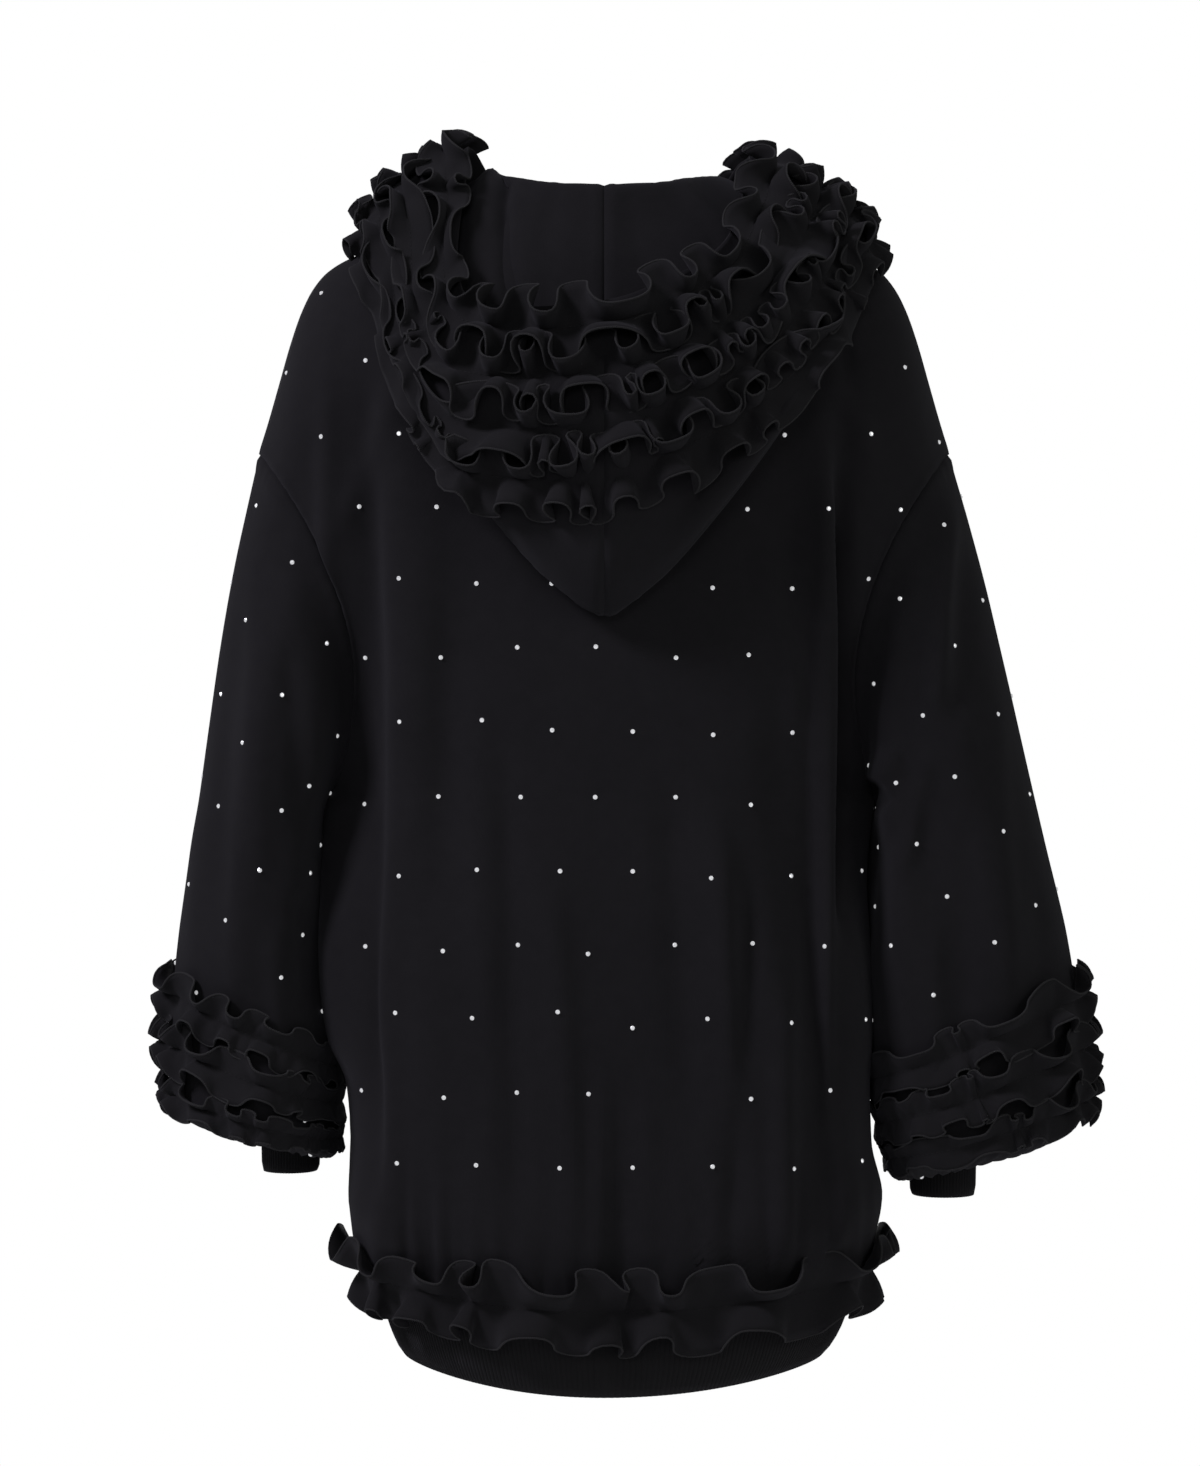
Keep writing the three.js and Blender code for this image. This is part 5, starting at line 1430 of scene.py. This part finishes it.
def lattice_sleeve(points, side):
    normals = grid_normals(points, True)
    random = np.random.default_rng(SEED + 5 * side)
    spots = []
    rows, cols = points.shape[:2]
    middle = points.mean(axis=1, keepdims=True)
    if ((points - middle) * normals)[rows // 2].sum() < 0:
        normals = -normals
    length = np.linalg.norm(np.diff(points, axis=0), axis=2).sum(axis=0).mean()
    count = int(length / 52)
    for n in range(count):
        j = int((n + 0.45) / count * rows)
        girth = np.linalg.norm(points[j] - np.roll(points[j], 1, 0), axis=1).sum()
        around = max(5, int(girth / 56))
        for k in range(around):
            turn = (k + 0.5 * (n % 2) + 0.2 + random.uniform(-0.05, 0.05)) / around
            i = int(turn * cols) % cols
            jj = min(rows - 9, max(5, j + int(random.uniform(-1.2, 1.8))))
            spots.append((points[jj, i] + normals[jj, i] * CLOTH / 2, normals[jj, i]))
    return spots


spots = lattice_body(back_points, 1) + lattice_body(left_points, -1) + lattice_body(right_points, -1)
for side in (1, -1):
    spots += lattice_sleeve(sleeve_points[side], side)
stone_piece = stones("stones", spots, STONE)
print("stones:", len(spots))

# %% [markdown]
# ## Zip
# The two tapes lie behind the front edges, and the teeth of one side stand between those of the other.


# %% Zip
def zip_point(side, x, z, deep):
    """A point beside the zip: x from the middle, level z, and deep mm out of the cloth."""
    edge = body_point(side * ZIP_EDGE + 0 * z, z, True)
    far = body_point(side * 28.0 + 0 * z, z, True)
    share = np.clip((x - ZIP_EDGE) / (28 - ZIP_EDGE), 0, 1)
    p = edge + (far - edge) * np.asarray(share)[..., None]
    up = unit(np.gradient(edge, axis=0)) if edge.ndim == 2 else None
    out = stack(0 * z, -up[..., 2], up[..., 1])
    p = p + out * np.asarray(deep)[..., None]
    p[..., 0] = side * x
    return p


def hard_look(name, dark, light, rough, metal):
    made, tree, shader = material(name)
    coords = tree.nodes.new("ShaderNodeTexCoord")
    share = noise_node(tree, coords.outputs["Object"], 260.0, 3.0, 0.6)
    tree.links.new(mix_color(tree, share, dark, light), shader.inputs["Base Color"])
    bump = tree.nodes.new("ShaderNodeBump")
    bump.inputs["Distance"].default_value = MM
    bump.inputs["Strength"].default_value = 0.15
    tree.links.new(share, bump.inputs["Height"])
    tree.links.new(bump.outputs["Normal"], shader.inputs["Normal"])
    set_inputs(shader, Roughness=rough, Metallic=metal)
    return made


TOOTH = hard_look("black moulded teeth", (0.008, 0.008, 0.009), (0.016, 0.016, 0.018), 0.35, 0.0)
NICKEL = hard_look("dark nickel", (0.3, 0.3, 0.31), (0.46, 0.46, 0.48), 0.3, 1.0)


ZIP_LEVELS = np.linspace(-846, -88, 240)
tapes = {}
teeth = {}
TOOTH_STEP = 2.6
for side, label in ((1, "left"), (-1, "right")):
    cols = [zip_point(side, x + 0 * ZIP_LEVELS, ZIP_LEVELS, -2.4 + 0 * ZIP_LEVELS) for x in (0.4, 2.5, 5, 8, 11, 14)]
    tapes[side] = wall("zip_tape_cloth_" + label, np.stack(cols, axis=1), 0.7, TAPE_CLOTH)
    count = int((846 - 90) / TOOTH_STEP)
    z = -845 + TOOTH_STEP * (np.arange(count) + (0.5 if side < 0 else 0))
    outline = ((3.1, -0.45), (1.3, -0.45), (0.7, -0.62), (-0.7, -0.62), (-0.7, 0.62), (0.7, 0.62), (1.3, 0.45), (3.1, 0.45))
    base = zip_point(side, 0 * z, z, 0 * z)
    up = unit(np.gradient(base, axis=0))
    out = stack(0 * z, -up[:, 2], up[:, 1])
    corners = []
    for deep in (-1.95, -0.35):
        for x, lift in outline:
            p = base + up * lift + out * deep
            p[:, 0] = side * x
            corners.append(p)
    corners = np.stack(corners, axis=1)
    sides = len(outline)
    faces = []
    for n in range(count):
        s = n * 2 * sides
        for i in range(sides):
            j = (i + 1) % sides
            faces.append([s + i, s + j, s + sides + j, s + sides + i])
        faces.append([s + i for i in range(sides)][::-1])
        faces.append([s + sides + i for i in range(sides)])
    teeth[side] = plain_object("zip_teeth_" + label, corners, faces, TOOTH)


ZIP_STITCH = 9


def stitch_run(points):
    """The row of sewing beside the zip: points on the front's cloth, and its outward directions."""
    line = points if abs(points[0, 0, 0]) < abs(points[0, -1, 0]) else points[:, ::-1]
    out = grid_normals(points) * -np.sign(grid_normals(points)[0, 0, 1])
    out = out if line is points else out[:, ::-1]
    gone = np.cumsum(np.linalg.norm(np.diff(line, axis=1), axis=2), axis=1)
    at = [int(np.searchsorted(row, ZIP_STITCH)) + 1 for row in gone]
    rows = np.arange(len(line))
    return line[rows, at] + out[rows, at] * (CLOTH / 2 + 0.15), out[rows, at]


zip_stitches = stitches("zip_stitches", [stitch_run(left_points), stitch_run(right_points)], 3.6, SEWING_THREAD)

for node in ("zip_slider", "zip_pull"):
    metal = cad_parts[node]
    metal.data.materials.clear()
    metal.data.materials.append(NICKEL)

# %% [markdown]
# ## What each piece stands for
# Every piece rides on a body of the solid model, and the solid it replaces is hidden. A material slot name is listed
# with each piece but not applied. The area of each sheet of cloth is printed against the size of its cut.

# %% Roles
NAMES = {1: "left", -1: "right"}
roles = [(back, "back_panel", "jersey"), (front_left, "front_panel_left", "jersey"), (front_right, "front_panel_right", "jersey")]
roles.append((band, "hem_band", "rib_knit"))
for side in (1, -1):
    roles.append((sleeves[side], "sleeve_" + NAMES[side], "jersey"))
    roles.append((cuffs[side], "cuff_" + NAMES[side], "rib_knit"))
    roles.append((hoods[side], "hood_" + NAMES[side], "jersey"))
    roles.append((tapes[side], "zip_tape_" + NAMES[side], "zip_tape"))
roles += [(piece, node, "frill_jersey") for node, piece in frills.items()]
for piece, node, slot in roles:
    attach(piece, "garment")
    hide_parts(node)
for piece in frill_edges.values():
    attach(piece, "garment")
for piece in teeth.values():
    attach(piece, "garment")
for piece in (gather_thread, zip_stitches):
    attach(piece, "garment")
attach(stone_piece, "garment")


def cloth_area(piece):
    """Half of a wall's surface, in square metres."""
    mesh = piece.data
    areas = np.empty(len(mesh.polygons))
    mesh.polygons.foreach_get("area", areas)
    return areas.sum() / 2


def triangles(piece):
    return sum(len(face.vertices) - 2 for face in piece.data.polygons)


made = [piece for piece, _, _ in roles] + list(frill_edges.values()) + list(teeth.values()) + [stone_piece, gather_thread, zip_stitches]
print("triangles:", sum(triangles(piece) for piece in made), "most in one:", max(triangles(piece) for piece in made))

# Cut of each sheet: width and length in metres, and the area where it is not that of the rectangle
CUTS = {
    "back_panel": (0.78, 0.88, 0.43),
    "front_panel_left": (0.42, 0.88, 0.2),
    "front_panel_right": (0.42, 0.88, 0.2),
    "sleeve_left": (0.67, 0.56, 0.21),
    "sleeve_right": (0.67, 0.59, 0.235),
    "hood_left": (0.65, 0.59, 0.125),
    "hood_right": (0.65, 0.59, 0.135),
    "cuff_left": (0.2, 0.04, None),
    "cuff_right": (0.21, 0.044, None),
    "hem_band": (0.99, 0.06, None),
    "zip_tape_left": (0.014, 0.79, None),
    "zip_tape_right": (0.014, 0.79, None),
}
RUFFLE_CUTS = {
    "hood_frill_1": (0.054, 1.2),
    "hood_frill_2": (0.054, 1.25),
    "hood_frill_3": (0.054, 1.15),
    "hood_frill_4": (0.054, 1.1),
    "cuff_frill_left_1": (0.038, 0.6),
    "cuff_frill_left_2": (0.038, 0.6),
    "cuff_frill_left_3": (0.03, 0.56),
    "cuff_frill_right_1": (0.038, 0.65),
    "cuff_frill_right_2": (0.038, 0.65),
    "cuff_frill_right_3": (0.03, 0.6),
    "hem_frill": (0.06, 1.25),
}
for piece, node, _ in roles:
    if node in CUTS:
        wide, long, area = CUTS[node]
    else:
        wide, long = RUFFLE_CUTS[node]
        area = None
    seen = float(cloth_area(piece))
    print(piece.name, "area", round(seen, 4), "share of its cut", round(seen / (area or wide * long), 3))

# %% [markdown]
# ## Floor
# The garment hangs in the air, so the floor is well below it. It fades out at its rim.

# %% Floor
bpy.ops.mesh.primitive_circle_add(vertices=96, radius=4.0, fill_type="NGON", location=(0, 0, -1.7))
floor = bpy.context.active_object
floor.name = "floor"
pale, pale_tree, pale_shader = material("pale floor")
pale_shader.inputs["Base Color"].default_value = (0.86, 0.86, 0.86, 1)
set_inputs(pale_shader, Roughness=0.9, Specular_IOR_Level=0.1)
pale_coords = pale_tree.nodes.new("ShaderNodeTexCoord")
pale_length = pale_tree.nodes.new("ShaderNodeVectorMath")
pale_length.operation = "LENGTH"
pale_tree.links.new(pale_coords.outputs["Object"], pale_length.inputs[0])
pale_fade = pale_tree.nodes.new("ShaderNodeMapRange")
pale_fade.inputs["From Min"].default_value = 1.2
pale_fade.inputs["From Max"].default_value = 3.6
pale_fade.inputs["To Min"].default_value = 1.0
pale_fade.inputs["To Max"].default_value = 0.0
pale_tree.links.new(pale_length.outputs["Value"], pale_fade.inputs["Value"])
pale_tree.links.new(pale_fade.outputs["Result"], pale_shader.inputs["Alpha"])
floor.data.materials.append(pale)
